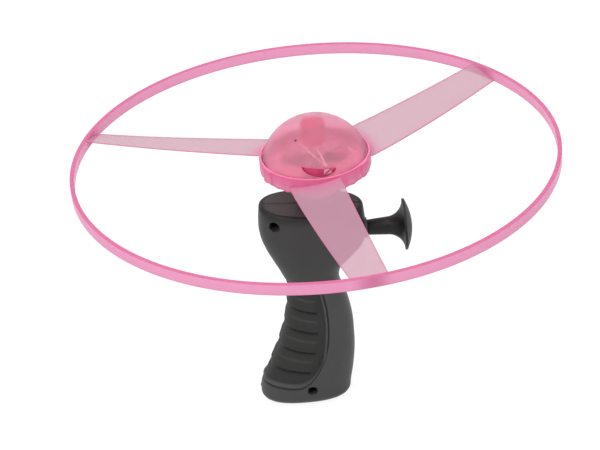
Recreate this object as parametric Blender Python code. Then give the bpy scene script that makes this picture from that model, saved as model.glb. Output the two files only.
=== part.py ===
"""Flying propeller toy: a ringed rotor with a light dome on a pistol-grip pull-cord launcher.

Metres, +Z up. The origin lies on the floor under the rotor's axis, +X points to the pull knob,
and the launcher's two half shells meet on the plane y = 0.
"""

from math import asin, cos, pi, radians, sin

import bmesh
import bpy
import numpy as np
from mathutils import Matrix, Vector

# Clearances
FIT = 0.0003                      # gap between pieces that touch
RUNNING = 0.0004                  # radial gap between pieces that turn on each other

# Propeller moulding
RING_RADIUS = 0.125
RING_WALL = 0.0023
RING_HEIGHT = 0.0062
RING_CORNER = 0.0006
BLADE_COUNT = 3
BLADE_FIRST_AZIMUTH = radians(-90)
BLADE_ROOT_CHORD = 0.0265
BLADE_TIP_CHORD = 0.0165
BLADE_ROOT_OFFSET = -0.0017       # sideways, of the root's middle from its own azimuth
BLADE_SWEEP = 0.0224              # sideways run of a blade from its root to its tip
BLADE_THICKNESS = 0.0012
BLADE_ROOT_PITCH = radians(8.8)
BLADE_TIP_PITCH = radians(15)
BLADE_ROOT_RISE = 0.0004          # height of the blade's root above the ring's middle
BLADE_SAG = 0.0010                # fall of the blade's middle below a straight run
BLADE_EDGE = 0.5                  # thickness of a blade's edges, as a share of its middle's
BLADE_STATIONS = 13
BLADE_POINTS = 5
COLLAR_WALL = 0.0013
COLLAR_TOP = 0.0035               # above the ring's middle
COLLAR_BOTTOM = 0.0040            # below the ring's middle
TIER_WALL = 0.0013
TIER_DEPTH = 0.0060               # below the ring's middle
HUB_FLOOR = 0.0015
LEDGE_RISE = 0.0018               # the dome's ledge above the collar's lower edge

# Light dome and its electronics
DOME_RADIUS = 0.0267
DOME_GAP = 0.0005                 # round the dome, inside the collar
DOME_WALL = 0.0013
DOME_TOP = 0.0229                 # above the ring's middle
DOME_SWELL = 1.05                 # radius of the dome's cap, as a share of its skirt's
DOME_OUTER_POINTS = 12
DOME_INNER_POINTS = 8
LED_RADIUS = 0.0025
LED_FLANGE_RADIUS = 0.0030
LED_FLANGE = 0.001
LED_HEIGHT = 0.0076
LED_NOSE_POINTS = 6
LED_BOSS_WALL = 0.0033
LED_BOSS_BOTTOM = 0.010           # above the ring's middle
BOARD_RADIUS = 0.0200
BOARD_THICKNESS = 0.001
CELL_COUNT = 3
CELL_RADIUS = 0.0058
CELL_HEIGHT = 0.0054
CELL_CIRCLE = 0.0125
CELL_CHAMFER = 0.0005
CONTACT_THICKNESS = 0.0005
CONTACT_ARM_WIDTH = 0.0044
CONTACT_HOLE = 0.0018
LEAD_RADIUS = 0.00028
LEAD_SPACING = 0.00254
LEAD_SPREAD = 0.0038
LEAD_FOOT = 0.0026                # from the axis, on the contact star

# Drive train, on the rotor's axis
SOCKET_FLANGE_RADIUS = 0.015
SOCKET_FLANGE = 0.0015
SOCKET_RADIUS = 0.0105
SOCKET_LENGTH = 0.0104
POST_CORNER_RADIUS = 0.007        # hexagon, to its corners
POST_LENGTH = 0.0100
DRIVE_FLANGE_RADIUS = 0.0115
DRIVE_FLANGE = 0.004
COLUMN_RADIUS = 0.006
SPIGOT_CORNER_RADIUS = 0.0045
SPIGOT_LENGTH = 0.0045
AXLE_RADIUS = 0.0015
AXLE_INTO_COLUMN = 0.020
SPOOL_RADIUS = 0.0122
SPOOL_DRUM_RADIUS = 0.0075
SPOOL_FLANGE = 0.0019
SPOOL_GROOVE = 0.0062
WINDING_DEPTH = 0.0030
SPRING_CASE_RADIUS = 0.0126
SPRING_CASE_WALL = 0.0012
SPRING_TURNS = 4.5
SPRING_STRIP = 0.0004
SPRING_POINTS_PER_TURN = 16
BUSH_WALL = 0.0016
BUSH_FLANGE_RADIUS = 0.0100
BUSH_FLANGE = 0.0012
SPINDLE_GAP = 0.0018              # between the bush and the drive's flange

# Pull knob and cord
CORD_RADIUS = 0.00075
CORD_DROP = 0.0169                # knob axis below the head's top
EYELET_RADIUS = 0.0054
EYELET_BORE = 0.0016
EYELET_LENGTH = 0.0040
EYELET_PROUD = 0.0006
EYELET_ROUND = 0.0008             # at the bore's inner mouth
KNOB_STEM_RADIUS = 0.0040
KNOB_NECK_RADIUS = 0.0047
KNOB_RIM_RADIUS = 0.0134
KNOB_LENGTH = 0.0200
KNOB_STEM_LENGTH = 0.0100
KNOB_FLARE_POINTS = 8
KNOB_RIM = 0.0014
KNOB_CROWN = 0.0030               # bulge of the outer face past the rim
KNOB_CROWN_POINTS = 6
KNOB_RECESS_RADIUS = 0.0070
KNOB_RECESS = 0.0026
KNOB_BORE = 0.0012
KNOB_CAP = 0.0012
KNOT_LENGTH = 0.0011
KNOT_RADIUS = 0.0015
# Points (x, y) of the cord's run from the winding to the eyelet
CORD_ROUTE = ((0.0060, -0.0113), (0.0120, -0.0070), (0.0170, -0.0022), (0.0195, -0.0003))

# Launcher shells
SHELL_WALL = 0.002
SEAM = 0.0003
FOOT_ROUND = 0.0052
FOOT_ROUND_STEPS = 4
TOP_ROUND = 0.0016
TOP_ROUND_STEPS = 3
TOP_RAKE = 0.080                  # fall of the head's top for each metre towards the knob
RAKE_DROP = 0.006                 # from the spool's shelf to where the sections start to lean
HEAD_TOP = 0.1166                 # height of the head's top on the rotor's axis
SECTION_POWER = 2.35              # 2 is an ellipse, more is squarer
SECTION_POINTS = 28
SECTION_HEAD = 0.1166             # head top that the sections' heights are given for
# Height, front edge, back edge and half width of the launcher's sections
SECTIONS = (
    (0.0000, -0.0386, 0.0086, 0.0135),
    (0.0082, -0.0388, 0.0096, 0.0138),
    (0.0170, -0.0357, 0.0113, 0.0142),
    (0.0286, -0.0303, 0.0128, 0.0145),
    (0.0385, -0.0264, 0.0131, 0.0145),
    (0.0486, -0.0234, 0.0128, 0.0142),
    (0.0606, -0.0212, 0.0107, 0.0135),
    (0.0716, -0.0204, 0.0075, 0.0131),
    (0.0803, -0.0233, 0.0092, 0.0138),
    (0.0870, -0.0264, 0.0156, 0.0149),
    (0.0931, -0.0293, 0.0211, 0.0157),
    (0.0997, -0.0315, 0.0233, 0.0161),
    (0.1064, -0.0321, 0.0232, 0.0161),
    (0.1187, -0.0307, 0.0223, 0.0158),
)
# Finger panel on both sides of the grip
PANEL_BACK = 0.63                 # share of the section's length, from the front
PANEL_BACK_FADE = (0.60, 0.66)    # shares between which the panel's back edge rises
RIDGE_FADE = (0.44, 0.58)         # shares between which the ridges die out
PANEL_BOTTOM = 0.0152
PANEL_FALL = 0.0050               # of the panel's lower edge over the section's length
PANEL_TOP = 0.0760
PANEL_CURL = 0.0160               # rise of the panel's lower edge towards its back edge
PANEL_CURL_POWER = 8              # more keeps the rise nearer to the back edge
PANEL_LOWER_STEP = 0.003          # height over which the lower edge sinks
PANEL_UPPER_FADE = 0.008          # height over which the panel dies out at its top
PANEL_DEPTH = 0.0006
GROOVE_HEIGHT = 0.0211            # of the lowest groove between two ridges
RIDGE_PITCH = 0.0122
RIDGE_FALL = 0.0052               # of the ridges over the section's length
RIDGE_DEPTH = 0.0009
STATION_STEP = 0.0026
HOLLOW_STATION_STEP = 0.0078

# Shelf under the spool, and the screws that hold the shells
SHELF_DROP = 0.0067               # shelf's top below the knob axis
SHELF_THICKNESS = 0.0022
HEAD_SCREW_X = -0.0238
HEAD_SCREW_DROP = 0.0048          # below the head's top on the rotor's axis
BACK_SCREW_X = 0.0170
BACK_SCREW_DROP = 0.0068
FOOT_SCREW_X = -0.0116
FOOT_SCREW_HEIGHT = 0.0097
SCREW_HOLE = 0.0025
SCREW_HEAD_RADIUS = 0.0022
SCREW_HEAD = 0.0017
SCREW_CROWN_RADIUS = 0.0015
SCREW_CROWN = 0.0006
SCREW_SLOT_REACH = 0.0013
SCREW_SLOT_HALF_WIDTH = 0.00026
SCREW_SLOT_DEPTH = 0.0008
SCREW_SHANK_RADIUS = 0.0014
SCREW_SEAT = 0.0030               # from the seam to the seat of the screw's head
SCREW_BITE = 0.0060               # length of the screw past the seam
BOSS_WALL = 0.0015

# Steps round a full turn, and the length of a cutter that goes past every piece
RING_STEPS = 96
FINE = 56
ROUND = 40
MEDIUM = 32
COARSE = 24
SMALL = 20
HEXAGON = 6
WIRE_BEVEL_STEPS = 2
WIRE_POINTS = 4
SMOOTH_ANGLE = radians(35)
PAST = 0.2


# Meshes

def paint(name, colour, roughness, metallic=0.0, alpha=1.0):
    """A Principled material for one piece."""
    material = bpy.data.materials.new(name)
    material.use_nodes = True
    shader = material.node_tree.nodes["Principled BSDF"]
    shader.inputs["Base Color"].default_value = (*colour, 1.0)
    shader.inputs["Roughness"].default_value = roughness
    shader.inputs["Metallic"].default_value = metallic
    shader.inputs["Alpha"].default_value = alpha
    return material


PINK = dict(colour=(0.86, 0.34, 0.52), roughness=0.25, alpha=0.6)
DARK = dict(colour=(0.055, 0.055, 0.052), roughness=0.55)
STEEL = dict(colour=(0.62, 0.62, 0.60), roughness=0.3, metallic=1.0)
WHITE = dict(colour=(0.80, 0.79, 0.75), roughness=0.5)


def hang(piece, parent):
    """Hang a piece from a joint's empty without moving it."""
    piece.parent = parent
    piece.matrix_parent_inverse = Matrix.Translation(-Vector(parent.location))


def finish(bm, name, look=None, parent=None):
    """Turn a bmesh into a named object; a piece has a look, and a cutter has none."""
    bmesh.ops.remove_doubles(bm, verts=bm.verts, dist=1e-7)
    bmesh.ops.recalc_face_normals(bm, faces=bm.faces)
    mesh = bpy.data.meshes.new(name)
    bm.to_mesh(mesh)
    bm.free()
    piece = bpy.data.objects.new(name, mesh)
    bpy.context.collection.objects.link(piece)
    if look:
        mesh.materials.append(paint(name, **look))
        mesh.shade_smooth()
        mesh.set_sharp_from_angle(angle=SMOOTH_ANGLE)
    if parent:
        hang(piece, parent)
    return piece


def joint_empty(name, place):
    """An empty on a joint's axis, which the pieces of a moving body hang from."""
    empty = bpy.data.objects.new(name, None)
    empty.location = place
    bpy.context.collection.objects.link(empty)
    return empty


def turned_bmesh(profile, steps, closed):
    """Spin a profile of (radius, height) points once round Z."""
    bm = bmesh.new()
    verts = [bm.verts.new((radius, 0, height)) for radius, height in profile]
    pairs = list(zip(verts, verts[1:]))
    if closed:
        pairs.append((verts[-1], verts[0]))
    edges = [bm.edges.new(pair) for pair in pairs]
    bmesh.ops.spin(bm, geom=verts + edges, cent=(0, 0, 0), axis=(0, 0, 1), angle=2 * pi,
                   steps=steps, use_merge=True)
    bmesh.ops.remove_doubles(bm, verts=bm.verts, dist=1e-7)
    return bm


def turned(name, profile, steps=FINE, look=None, parent=None, matrix=None):
    """A turned solid; a profile that starts and ends on the axis is closed by it."""
    on_axis = profile[0][0] == 0 and profile[-1][0] == 0
    bm = turned_bmesh(profile, steps, closed=not on_axis)
    if matrix:
        bm.transform(matrix)
    return finish(bm, name, look, parent)


def disc(name, radius, low, high, steps=FINE, look=None, parent=None, matrix=None):
    """A plain round solid between two heights."""
    profile = [(0, low), (radius, low), (radius, high), (0, high)]
    return turned(name, profile, steps, look, parent, matrix)


def along_x(x, height):
    """Matrix that lays a turned piece along +X, starting at x."""
    return Matrix.Translation((x, 0, height)) @ Matrix.Rotation(pi / 2, 4, "Y")


def along_y(x, height):
    """Matrix that lays a turned piece along +Y."""
    return Matrix.Translation((x, 0, height)) @ Matrix.Rotation(-pi / 2, 4, "X")


def box(name, low, high):
    """A cutting block between two corners."""
    bm = bmesh.new()
    bmesh.ops.create_cube(bm, size=1)
    size = Vector(high) - Vector(low)
    middle = (Vector(high) + Vector(low)) / 2
    bm.transform(Matrix.Translation(middle) @ Matrix.Diagonal((*size, 1)))
    return finish(bm, name)


def extruded(name, outline, low, high, look=None, parent=None):
    """A flat outline of (x, y) points raised from one height to another."""
    bm = bmesh.new()
    face = bm.faces.new([bm.verts.new((x, y, low)) for x, y in outline])
    raised = bmesh.ops.extrude_face_region(bm, geom=[face])
    top = [item for item in raised["geom"] if isinstance(item, bmesh.types.BMVert)]
    bmesh.ops.translate(bm, verts=top, vec=(0, 0, high - low))
    return finish(bm, name, look, parent)


def loft(name, rings, look=None):
    """A closed solid through rings of points, capped at both ends."""
    bm = bmesh.new()
    loops = [[bm.verts.new(point) for point in ring] for ring in rings]
    for lower, upper in zip(loops, loops[1:]):
        for i in range(len(lower)):
            j = (i + 1) % len(lower)
            bm.faces.new((lower[i], lower[j], upper[j], upper[i]))
    bm.faces.new(loops[0][::-1])
    bm.faces.new(loops[-1])
    bmesh.ops.triangulate(bm, faces=bm.faces)
    return finish(bm, name, look)


def combine(target, tool, operation):
    """Apply a Boolean to the target and use up the tool."""
    modifier = target.modifiers.new(operation, "BOOLEAN")
    modifier.operation = operation
    modifier.object = tool
    modifier.solver = "EXACT"
    graph = bpy.context.evaluated_depsgraph_get()
    result = bpy.data.meshes.new_from_object(target.evaluated_get(graph))
    target.modifiers.clear()
    target.data = result
    bpy.data.objects.remove(tool)


def cut(target, *tools):
    """Take each tool away from the target."""
    for tool in tools:
        combine(target, tool, "DIFFERENCE")


def fuse(target, *tools):
    """Add each tool to the target."""
    for tool in tools:
        combine(target, tool, "UNION")


def copy_of(piece, name):
    """A second object with its own copy of a mesh."""
    twin = piece.copy()
    twin.data = piece.data.copy()
    twin.name = name
    bpy.context.collection.objects.link(twin)
    return twin


def wire(name, points, radius, look, parent):
    """A round wire along a poly line, with filled ends."""
    curve = bpy.data.curves.new(name, "CURVE")
    curve.dimensions = "3D"
    curve.bevel_depth = radius
    curve.bevel_resolution = WIRE_BEVEL_STEPS
    curve.use_fill_caps = True
    spline = curve.splines.new("POLY")
    spline.points.add(len(points) - 1)
    for slot, point in zip(spline.points, points):
        slot.co = (*point, 1)
    curve.materials.append(paint(name, **look))
    piece = bpy.data.objects.new(name, curve)
    bpy.context.collection.objects.link(piece)
    hang(piece, parent)
    return piece


def smooth_path(points, per_span):
    """Catmull-Rom curve through hand-chosen points."""
    knots = np.array(points)
    padded = np.vstack([2 * knots[0] - knots[1], knots, 2 * knots[-1] - knots[-2]])
    path = []
    for a, b, c, d in zip(padded, padded[1:], padded[2:], padded[3:]):
        for t in np.arange(per_span) / per_span:
            path.append(0.5 * (2 * b + (c - a) * t + (2 * a - 5 * b + 4 * c - d) * t * t
                               + (3 * b - a - 3 * c + d) * t ** 3))
    path.append(knots[-1])
    return [tuple(point) for point in path]


# Radii of the hub round the dome

COLLAR_RADIUS = DOME_RADIUS + DOME_GAP + COLLAR_WALL
TIER_RADIUS = DOME_RADIUS

# Heights along the rotor's axis, from the head's top down to the shelf and up to the ring

CORD_HEIGHT = HEAD_TOP - CORD_DROP
SHELF_TOP = CORD_HEIGHT - SHELF_DROP
RAKE_START = SHELF_TOP - RAKE_DROP
BUSH_SEAT_Z = HEAD_TOP + TOP_RAKE * BUSH_FLANGE_RADIUS + FIT
BUSH_TOP_Z = BUSH_SEAT_Z + BUSH_FLANGE
DRIVE_FLANGE_Z = BUSH_TOP_Z + SPINDLE_GAP
DRIVE_FLANGE_TOP_Z = DRIVE_FLANGE_Z + DRIVE_FLANGE
SOCKET_BOTTOM_Z = DRIVE_FLANGE_TOP_Z + FIT
SOCKET_FLANGE_Z = SOCKET_BOTTOM_Z + SOCKET_LENGTH
SOCKET_TOP_Z = SOCKET_FLANGE_Z + SOCKET_FLANGE
HUB_BOTTOM_Z = SOCKET_TOP_Z + FIT
RING_PLANE = HUB_BOTTOM_Z + TIER_DEPTH
COLLAR_TOP_Z = RING_PLANE + COLLAR_TOP
COLLAR_BOTTOM_Z = RING_PLANE - COLLAR_BOTTOM
HUB_FLOOR_Z = HUB_BOTTOM_Z + HUB_FLOOR
LEDGE_Z = COLLAR_BOTTOM_Z + LEDGE_RISE
DOME_RIM_Z = LEDGE_Z + FIT
DOME_CAP_RADIUS = DOME_RADIUS * DOME_SWELL
DOME_CENTRE_Z = RING_PLANE + DOME_TOP - DOME_CAP_RADIUS
BOARD_Z = HUB_FLOOR_Z + FIT
CELL_Z = BOARD_Z + BOARD_THICKNESS + FIT
CONTACT_Z = CELL_Z + CELL_HEIGHT + FIT
SPOOL_MIDDLE_Z = CORD_HEIGHT
SPOOL_TOP_Z = SPOOL_MIDDLE_Z + SPOOL_GROOVE / 2 + SPOOL_FLANGE
SPOOL_BOTTOM_Z = SPOOL_MIDDLE_Z - SPOOL_GROOVE / 2 - SPOOL_FLANGE
COLUMN_BOTTOM_Z = SPOOL_TOP_Z + FIT
AXLE_TOP_Z = COLUMN_BOTTOM_Z + AXLE_INTO_COLUMN
AXLE_BORE = AXLE_RADIUS + RUNNING
SCREW_PLACES = {
    "head_screw": (HEAD_SCREW_X, HEAD_TOP - HEAD_SCREW_DROP),
    "back_screw": (BACK_SCREW_X, HEAD_TOP - BACK_SCREW_DROP),
    "foot_screw": (FOOT_SCREW_X, FOOT_SCREW_HEIGHT),
}


# Propeller, dome and electronics

def polar_point(radius, azimuth, height):
    """A point from its radius, azimuth and height."""
    return (radius * cos(azimuth), radius * sin(azimuth), height)


def blade(name, azimuth):
    """One twisted, swept blade, from the middle of the collar's wall to that of the ring's."""
    root = COLLAR_RADIUS - COLLAR_WALL / 2
    tip = RING_RADIUS - RING_WALL / 2
    rings = []
    for share in np.linspace(0, 1, BLADE_STATIONS):
        radius = root + share * (tip - root)
        chord = BLADE_ROOT_CHORD + share * (BLADE_TIP_CHORD - BLADE_ROOT_CHORD)
        pitch = BLADE_ROOT_PITCH + share * (BLADE_TIP_PITCH - BLADE_ROOT_PITCH)
        middle = RING_PLANE + BLADE_ROOT_RISE * (1 - share) - BLADE_SAG * 4 * share * (1 - share)
        aside = BLADE_ROOT_OFFSET + share * BLADE_SWEEP
        across = np.linspace(-0.5, 0.5, BLADE_POINTS) * chord
        upper = []
        lower = []
        for side in across:
            turn = azimuth + asin((aside + side * cos(pitch)) / radius)
            height = middle + side * sin(pitch)
            thin = 0.5 * BLADE_THICKNESS * (1 - (1 - BLADE_EDGE) * (2 * side / chord) ** 2)
            upper.append(polar_point(radius, turn, height + thin))
            lower.append(polar_point(radius, turn, height - thin))
        rings.append(upper + lower[::-1])
    return loft(name, rings)


def propeller(parent):
    """Outer ring, three blades and the hub cup, moulded as one piece."""
    half = RING_HEIGHT / 2
    inner = RING_RADIUS - RING_WALL
    ring = [
        (RING_RADIUS, RING_PLANE + half - RING_CORNER), (RING_RADIUS, RING_PLANE - half + RING_CORNER),
        (RING_RADIUS - RING_CORNER, RING_PLANE - half), (inner + RING_CORNER, RING_PLANE - half),
        (inner, RING_PLANE - half + RING_CORNER), (inner, RING_PLANE + half - RING_CORNER),
        (inner + RING_CORNER, RING_PLANE + half), (RING_RADIUS - RING_CORNER, RING_PLANE + half),
    ]
    cup_wall = COLLAR_RADIUS - COLLAR_WALL
    tier_wall = TIER_RADIUS - TIER_WALL
    cup = [
        (0, HUB_FLOOR_Z), (tier_wall, HUB_FLOOR_Z), (tier_wall, LEDGE_Z), (cup_wall, LEDGE_Z),
        (cup_wall, COLLAR_TOP_Z), (COLLAR_RADIUS, COLLAR_TOP_Z), (COLLAR_RADIUS, COLLAR_BOTTOM_Z),
        (TIER_RADIUS, COLLAR_BOTTOM_Z), (TIER_RADIUS, HUB_BOTTOM_Z), (0, HUB_BOTTOM_Z),
    ]
    piece = turned("propeller", ring, RING_STEPS, PINK, parent)
    for index in range(BLADE_COUNT):
        fuse(piece, blade(f"blade_{index}", BLADE_FIRST_AZIMUTH + index * 2 * pi / BLADE_COUNT))
    fuse(piece, turned("hub_cup", cup, FINE))
    return piece


def arc(radius, centre, start, end, count):
    """Points (radius, height) on a circle round the axis's own centre, between two angles from +Z."""
    angles = np.linspace(start, end, count)
    return [(radius * sin(a), centre + radius * cos(a)) for a in angles]


def dome(parent):
    """Light dome, a round cap on a plain skirt, with the LED's boss inside its crown."""
    inner = DOME_RADIUS - DOME_WALL
    inner_cap = DOME_CAP_RADIUS - DOME_WALL
    bore = LED_RADIUS + FIT
    boss = bore + LED_BOSS_WALL
    bottom = RING_PLANE + LED_BOSS_BOTTOM
    crown = bottom + LED_HEIGHT + FIT
    outside = arc(DOME_CAP_RADIUS, DOME_CENTRE_Z, 0, asin(DOME_RADIUS / DOME_CAP_RADIUS), DOME_OUTER_POINTS)
    inside = arc(inner_cap, DOME_CENTRE_Z, asin(inner / inner_cap), asin(boss / inner_cap), DOME_INNER_POINTS)
    rim = [(DOME_RADIUS, DOME_RIM_Z), (inner, DOME_RIM_Z)]
    profile = outside + rim + inside + [(boss, bottom), (bore, bottom), (bore, crown), (0, crown)]
    profile[0] = (0, DOME_CENTRE_Z + DOME_CAP_RADIUS)
    return turned("dome", profile, ROUND, PINK, parent)


def led(parent):
    """LED with its round nose up in the dome's boss and its flange under it."""
    base = RING_PLANE + LED_BOSS_BOTTOM - FIT - LED_FLANGE
    shoulder = RING_PLANE + LED_BOSS_BOTTOM + LED_HEIGHT - LED_RADIUS
    nose = arc(LED_RADIUS, shoulder, pi / 2, 0, LED_NOSE_POINTS)
    nose[-1] = (0, shoulder + LED_RADIUS)
    profile = [(0, base), (LED_FLANGE_RADIUS, base), (LED_FLANGE_RADIUS, base + LED_FLANGE),
               (LED_RADIUS, base + LED_FLANGE)] + nose
    turned("led", profile, COARSE, dict(colour=(0.85, 0.75, 0.72), roughness=0.1), parent)
    return base


def electronics(parent):
    """Board, button cells, contact star, LED and its two leads."""
    disc("light_board", BOARD_RADIUS, BOARD_Z, BOARD_Z + BOARD_THICKNESS, FINE,
         dict(colour=(0.45, 0.35, 0.18), roughness=0.5), parent)
    top = CELL_Z + CELL_HEIGHT
    for index in range(CELL_COUNT):
        azimuth = BLADE_FIRST_AZIMUTH + index * 2 * pi / CELL_COUNT
        profile = [(0, CELL_Z), (CELL_RADIUS - CELL_CHAMFER, CELL_Z), (CELL_RADIUS, CELL_Z + CELL_CHAMFER),
                   (CELL_RADIUS, top - CELL_CHAMFER), (CELL_RADIUS - CELL_CHAMFER, top), (0, top)]
        place = Matrix.Translation(polar_point(CELL_CIRCLE, azimuth, 0))
        turned(f"button_cell_{index + 1}", profile, COARSE, STEEL, parent, place)
    outline = []
    half = CONTACT_ARM_WIDTH / 2
    for index in range(CELL_COUNT):
        azimuth = BLADE_FIRST_AZIMUTH + index * 2 * pi / CELL_COUNT
        notch = azimuth - pi / CELL_COUNT
        outline.append((CONTACT_ARM_WIDTH * cos(notch), CONTACT_ARM_WIDTH * sin(notch)))
        for side in (-half, half):
            reach = CELL_CIRCLE + half
            outline.append((reach * cos(azimuth) - side * sin(azimuth),
                            reach * sin(azimuth) + side * cos(azimuth)))
    star = extruded("contact_star", outline, CONTACT_Z, CONTACT_Z + CONTACT_THICKNESS, STEEL, parent)
    cut(star, disc("lead_hole", CONTACT_HOLE, CONTACT_Z - FIT, CONTACT_Z + CONTACT_THICKNESS + FIT, SMALL))
    led_base = led(parent) - FIT
    half = LEAD_SPACING / 2
    star_top = CONTACT_Z + CONTACT_THICKNESS + FIT
    board_top = BOARD_Z + BOARD_THICKNESS + FIT
    bow = (led_base + star_top) / 2
    positive = [(half, 0, led_base), (LEAD_SPREAD, 0, bow), (LEAD_FOOT, 0, star_top)]
    negative = [(-half, 0, led_base), (-LEAD_SPREAD, 0, bow), (0, 0, star_top), (0, 0, board_top)]
    wire("led_lead_to_cells", smooth_path(positive, WIRE_POINTS), LEAD_RADIUS, STEEL, parent)
    wire("led_lead_to_board", smooth_path(negative, WIRE_POINTS), LEAD_RADIUS, STEEL, parent)


def hub_socket(parent):
    """Flanged socket under the hub, with the hexagon that the drive's post turns."""
    profile = [
        (0, SOCKET_TOP_Z), (SOCKET_FLANGE_RADIUS, SOCKET_TOP_Z), (SOCKET_FLANGE_RADIUS, SOCKET_FLANGE_Z),
        (SOCKET_RADIUS, SOCKET_FLANGE_Z), (SOCKET_RADIUS, SOCKET_BOTTOM_Z), (0, SOCKET_BOTTOM_Z),
    ]
    piece = turned("hub_socket", profile, ROUND, PINK, parent)
    hexagon = POST_CORNER_RADIUS + RUNNING
    cut(piece, disc("socket_hexagon", hexagon, SOCKET_BOTTOM_Z - FIT, SOCKET_FLANGE_Z + FIT, HEXAGON))


# Drive train

def drive(parent):
    """Spool, the column that carries the hexagon post, and the wound cord."""
    low = SPOOL_MIDDLE_Z - SPOOL_GROOVE / 2
    high = SPOOL_MIDDLE_Z + SPOOL_GROOVE / 2
    profile = [
        (AXLE_BORE, SPOOL_TOP_Z), (SPOOL_RADIUS, SPOOL_TOP_Z), (SPOOL_RADIUS, high),
        (SPOOL_DRUM_RADIUS, high), (SPOOL_DRUM_RADIUS, low), (SPOOL_RADIUS, low),
        (SPOOL_RADIUS, SPOOL_BOTTOM_Z), (AXLE_BORE, SPOOL_BOTTOM_Z),
    ]
    spool = turned("cord_spool", profile, ROUND, WHITE, parent)
    spigot_bottom = COLUMN_BOTTOM_Z - SPIGOT_LENGTH
    cut(spool, disc("spool_hexagon", SPIGOT_CORNER_RADIUS + RUNNING, spigot_bottom - FIT,
                    SPOOL_TOP_Z + FIT, HEXAGON))
    inner = SPOOL_DRUM_RADIUS + FIT
    outer = inner + WINDING_DEPTH
    turned("cord_winding", [(inner, high - FIT), (outer, high - FIT), (outer, low + FIT), (inner, low + FIT)],
           ROUND, WHITE, parent)
    column = [
        (0, DRIVE_FLANGE_TOP_Z), (DRIVE_FLANGE_RADIUS, DRIVE_FLANGE_TOP_Z),
        (DRIVE_FLANGE_RADIUS, DRIVE_FLANGE_Z), (COLUMN_RADIUS, DRIVE_FLANGE_Z),
        (COLUMN_RADIUS, COLUMN_BOTTOM_Z), (0, COLUMN_BOTTOM_Z),
    ]
    piece = turned("drive_column", column, ROUND, DARK, parent)
    sunk = DRIVE_FLANGE / 2
    fuse(piece, disc("post", POST_CORNER_RADIUS, DRIVE_FLANGE_TOP_Z - sunk,
                     DRIVE_FLANGE_TOP_Z + POST_LENGTH, HEXAGON))
    fuse(piece, disc("spigot", SPIGOT_CORNER_RADIUS, spigot_bottom, COLUMN_BOTTOM_Z + sunk, HEXAGON))
    cut(piece, disc("axle_bore", AXLE_BORE, spigot_bottom - FIT, AXLE_TOP_Z + FIT, COARSE))


def spring_top():
    """Height of the spring case's top, under the lowest part of the head's raked roof."""
    return HEAD_TOP - SHELL_WALL - TOP_RAKE * SPRING_CASE_RADIUS - FIT


def bearings():
    """Axle pin, spring case with its spiral spring, and the bush in the head's top."""
    disc("axle_pin", AXLE_RADIUS, SHELF_TOP - SHELF_THICKNESS, AXLE_TOP_Z, COARSE, STEEL)
    top = spring_top()
    roof = top - SPRING_CASE_WALL
    bottom = SPOOL_TOP_Z + RUNNING
    bush_inner = COLUMN_RADIUS + RUNNING
    bush_outer = bush_inner + BUSH_WALL
    inside = SPRING_CASE_RADIUS - SPRING_CASE_WALL
    hole = bush_outer + FIT
    turned("spring_case", [(hole, top), (SPRING_CASE_RADIUS, top), (SPRING_CASE_RADIUS, bottom),
                           (inside, bottom), (inside, roof), (hole, roof)], ROUND, WHITE)
    spring(COLUMN_RADIUS + FIT, inside - FIT, bottom + FIT, roof - FIT)
    turned("spindle_bush", [
        (bush_inner, BUSH_TOP_Z), (BUSH_FLANGE_RADIUS, BUSH_TOP_Z), (BUSH_FLANGE_RADIUS, BUSH_SEAT_Z),
        (bush_outer, BUSH_SEAT_Z), (bush_outer, roof), (bush_inner, roof),
    ], ROUND, WHITE)


def spring(inner, outer, low, high):
    """Flat spiral return spring between the column and its case."""
    count = int(SPRING_TURNS * SPRING_POINTS_PER_TURN) + 1
    angles = np.linspace(0, 2 * pi * SPRING_TURNS, count)
    middle = np.linspace(inner + SPRING_STRIP / 2, outer - SPRING_STRIP / 2, count)
    pitch = (outer - inner - SPRING_STRIP) / SPRING_TURNS
    print(f"return_spring: least gap between turns {1000 * (pitch - SPRING_STRIP):.2f} mm")
    rings = []
    for angle, radius in zip(angles, middle):
        near = radius - SPRING_STRIP / 2
        far = radius + SPRING_STRIP / 2
        rings.append([polar_point(near, angle, low), polar_point(far, angle, low),
                      polar_point(far, angle, high), polar_point(near, angle, high)])
    loft("return_spring", rings, STEEL)


# Launcher shells

SECTION_TABLE = np.array(SECTIONS) * (HEAD_TOP / SECTION_HEAD, 1, 1, 1)


def section_at(height):
    """Front edge, back edge and half width at a height, on a smooth curve through the sections."""
    heights = SECTION_TABLE[:, 0]
    index = int(np.clip(np.searchsorted(heights, height) - 1, 0, len(heights) - 2))
    rows = SECTION_TABLE[np.clip(np.arange(index - 1, index + 3), 0, len(heights) - 1)]
    span = rows[2, 0] - rows[1, 0]
    t = (height - rows[1, 0]) / span
    before = (rows[2] - rows[0]) / max(rows[2, 0] - rows[0, 0], span) * span
    after = (rows[3] - rows[1]) / max(rows[3, 0] - rows[1, 0], span) * span
    curve = ((2 * t ** 3 - 3 * t ** 2 + 1) * rows[1] + (t ** 3 - 2 * t ** 2 + t) * before
             + (3 * t ** 2 - 2 * t ** 3) * rows[2] + (t ** 3 - t ** 2) * after)
    return curve[1:]


def ease(value, start, end):
    """Smooth step from 0 at start to 1 at end."""
    t = np.clip((value - start) / (end - start), 0, 1)
    return t * t * (3 - 2 * t)


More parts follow.
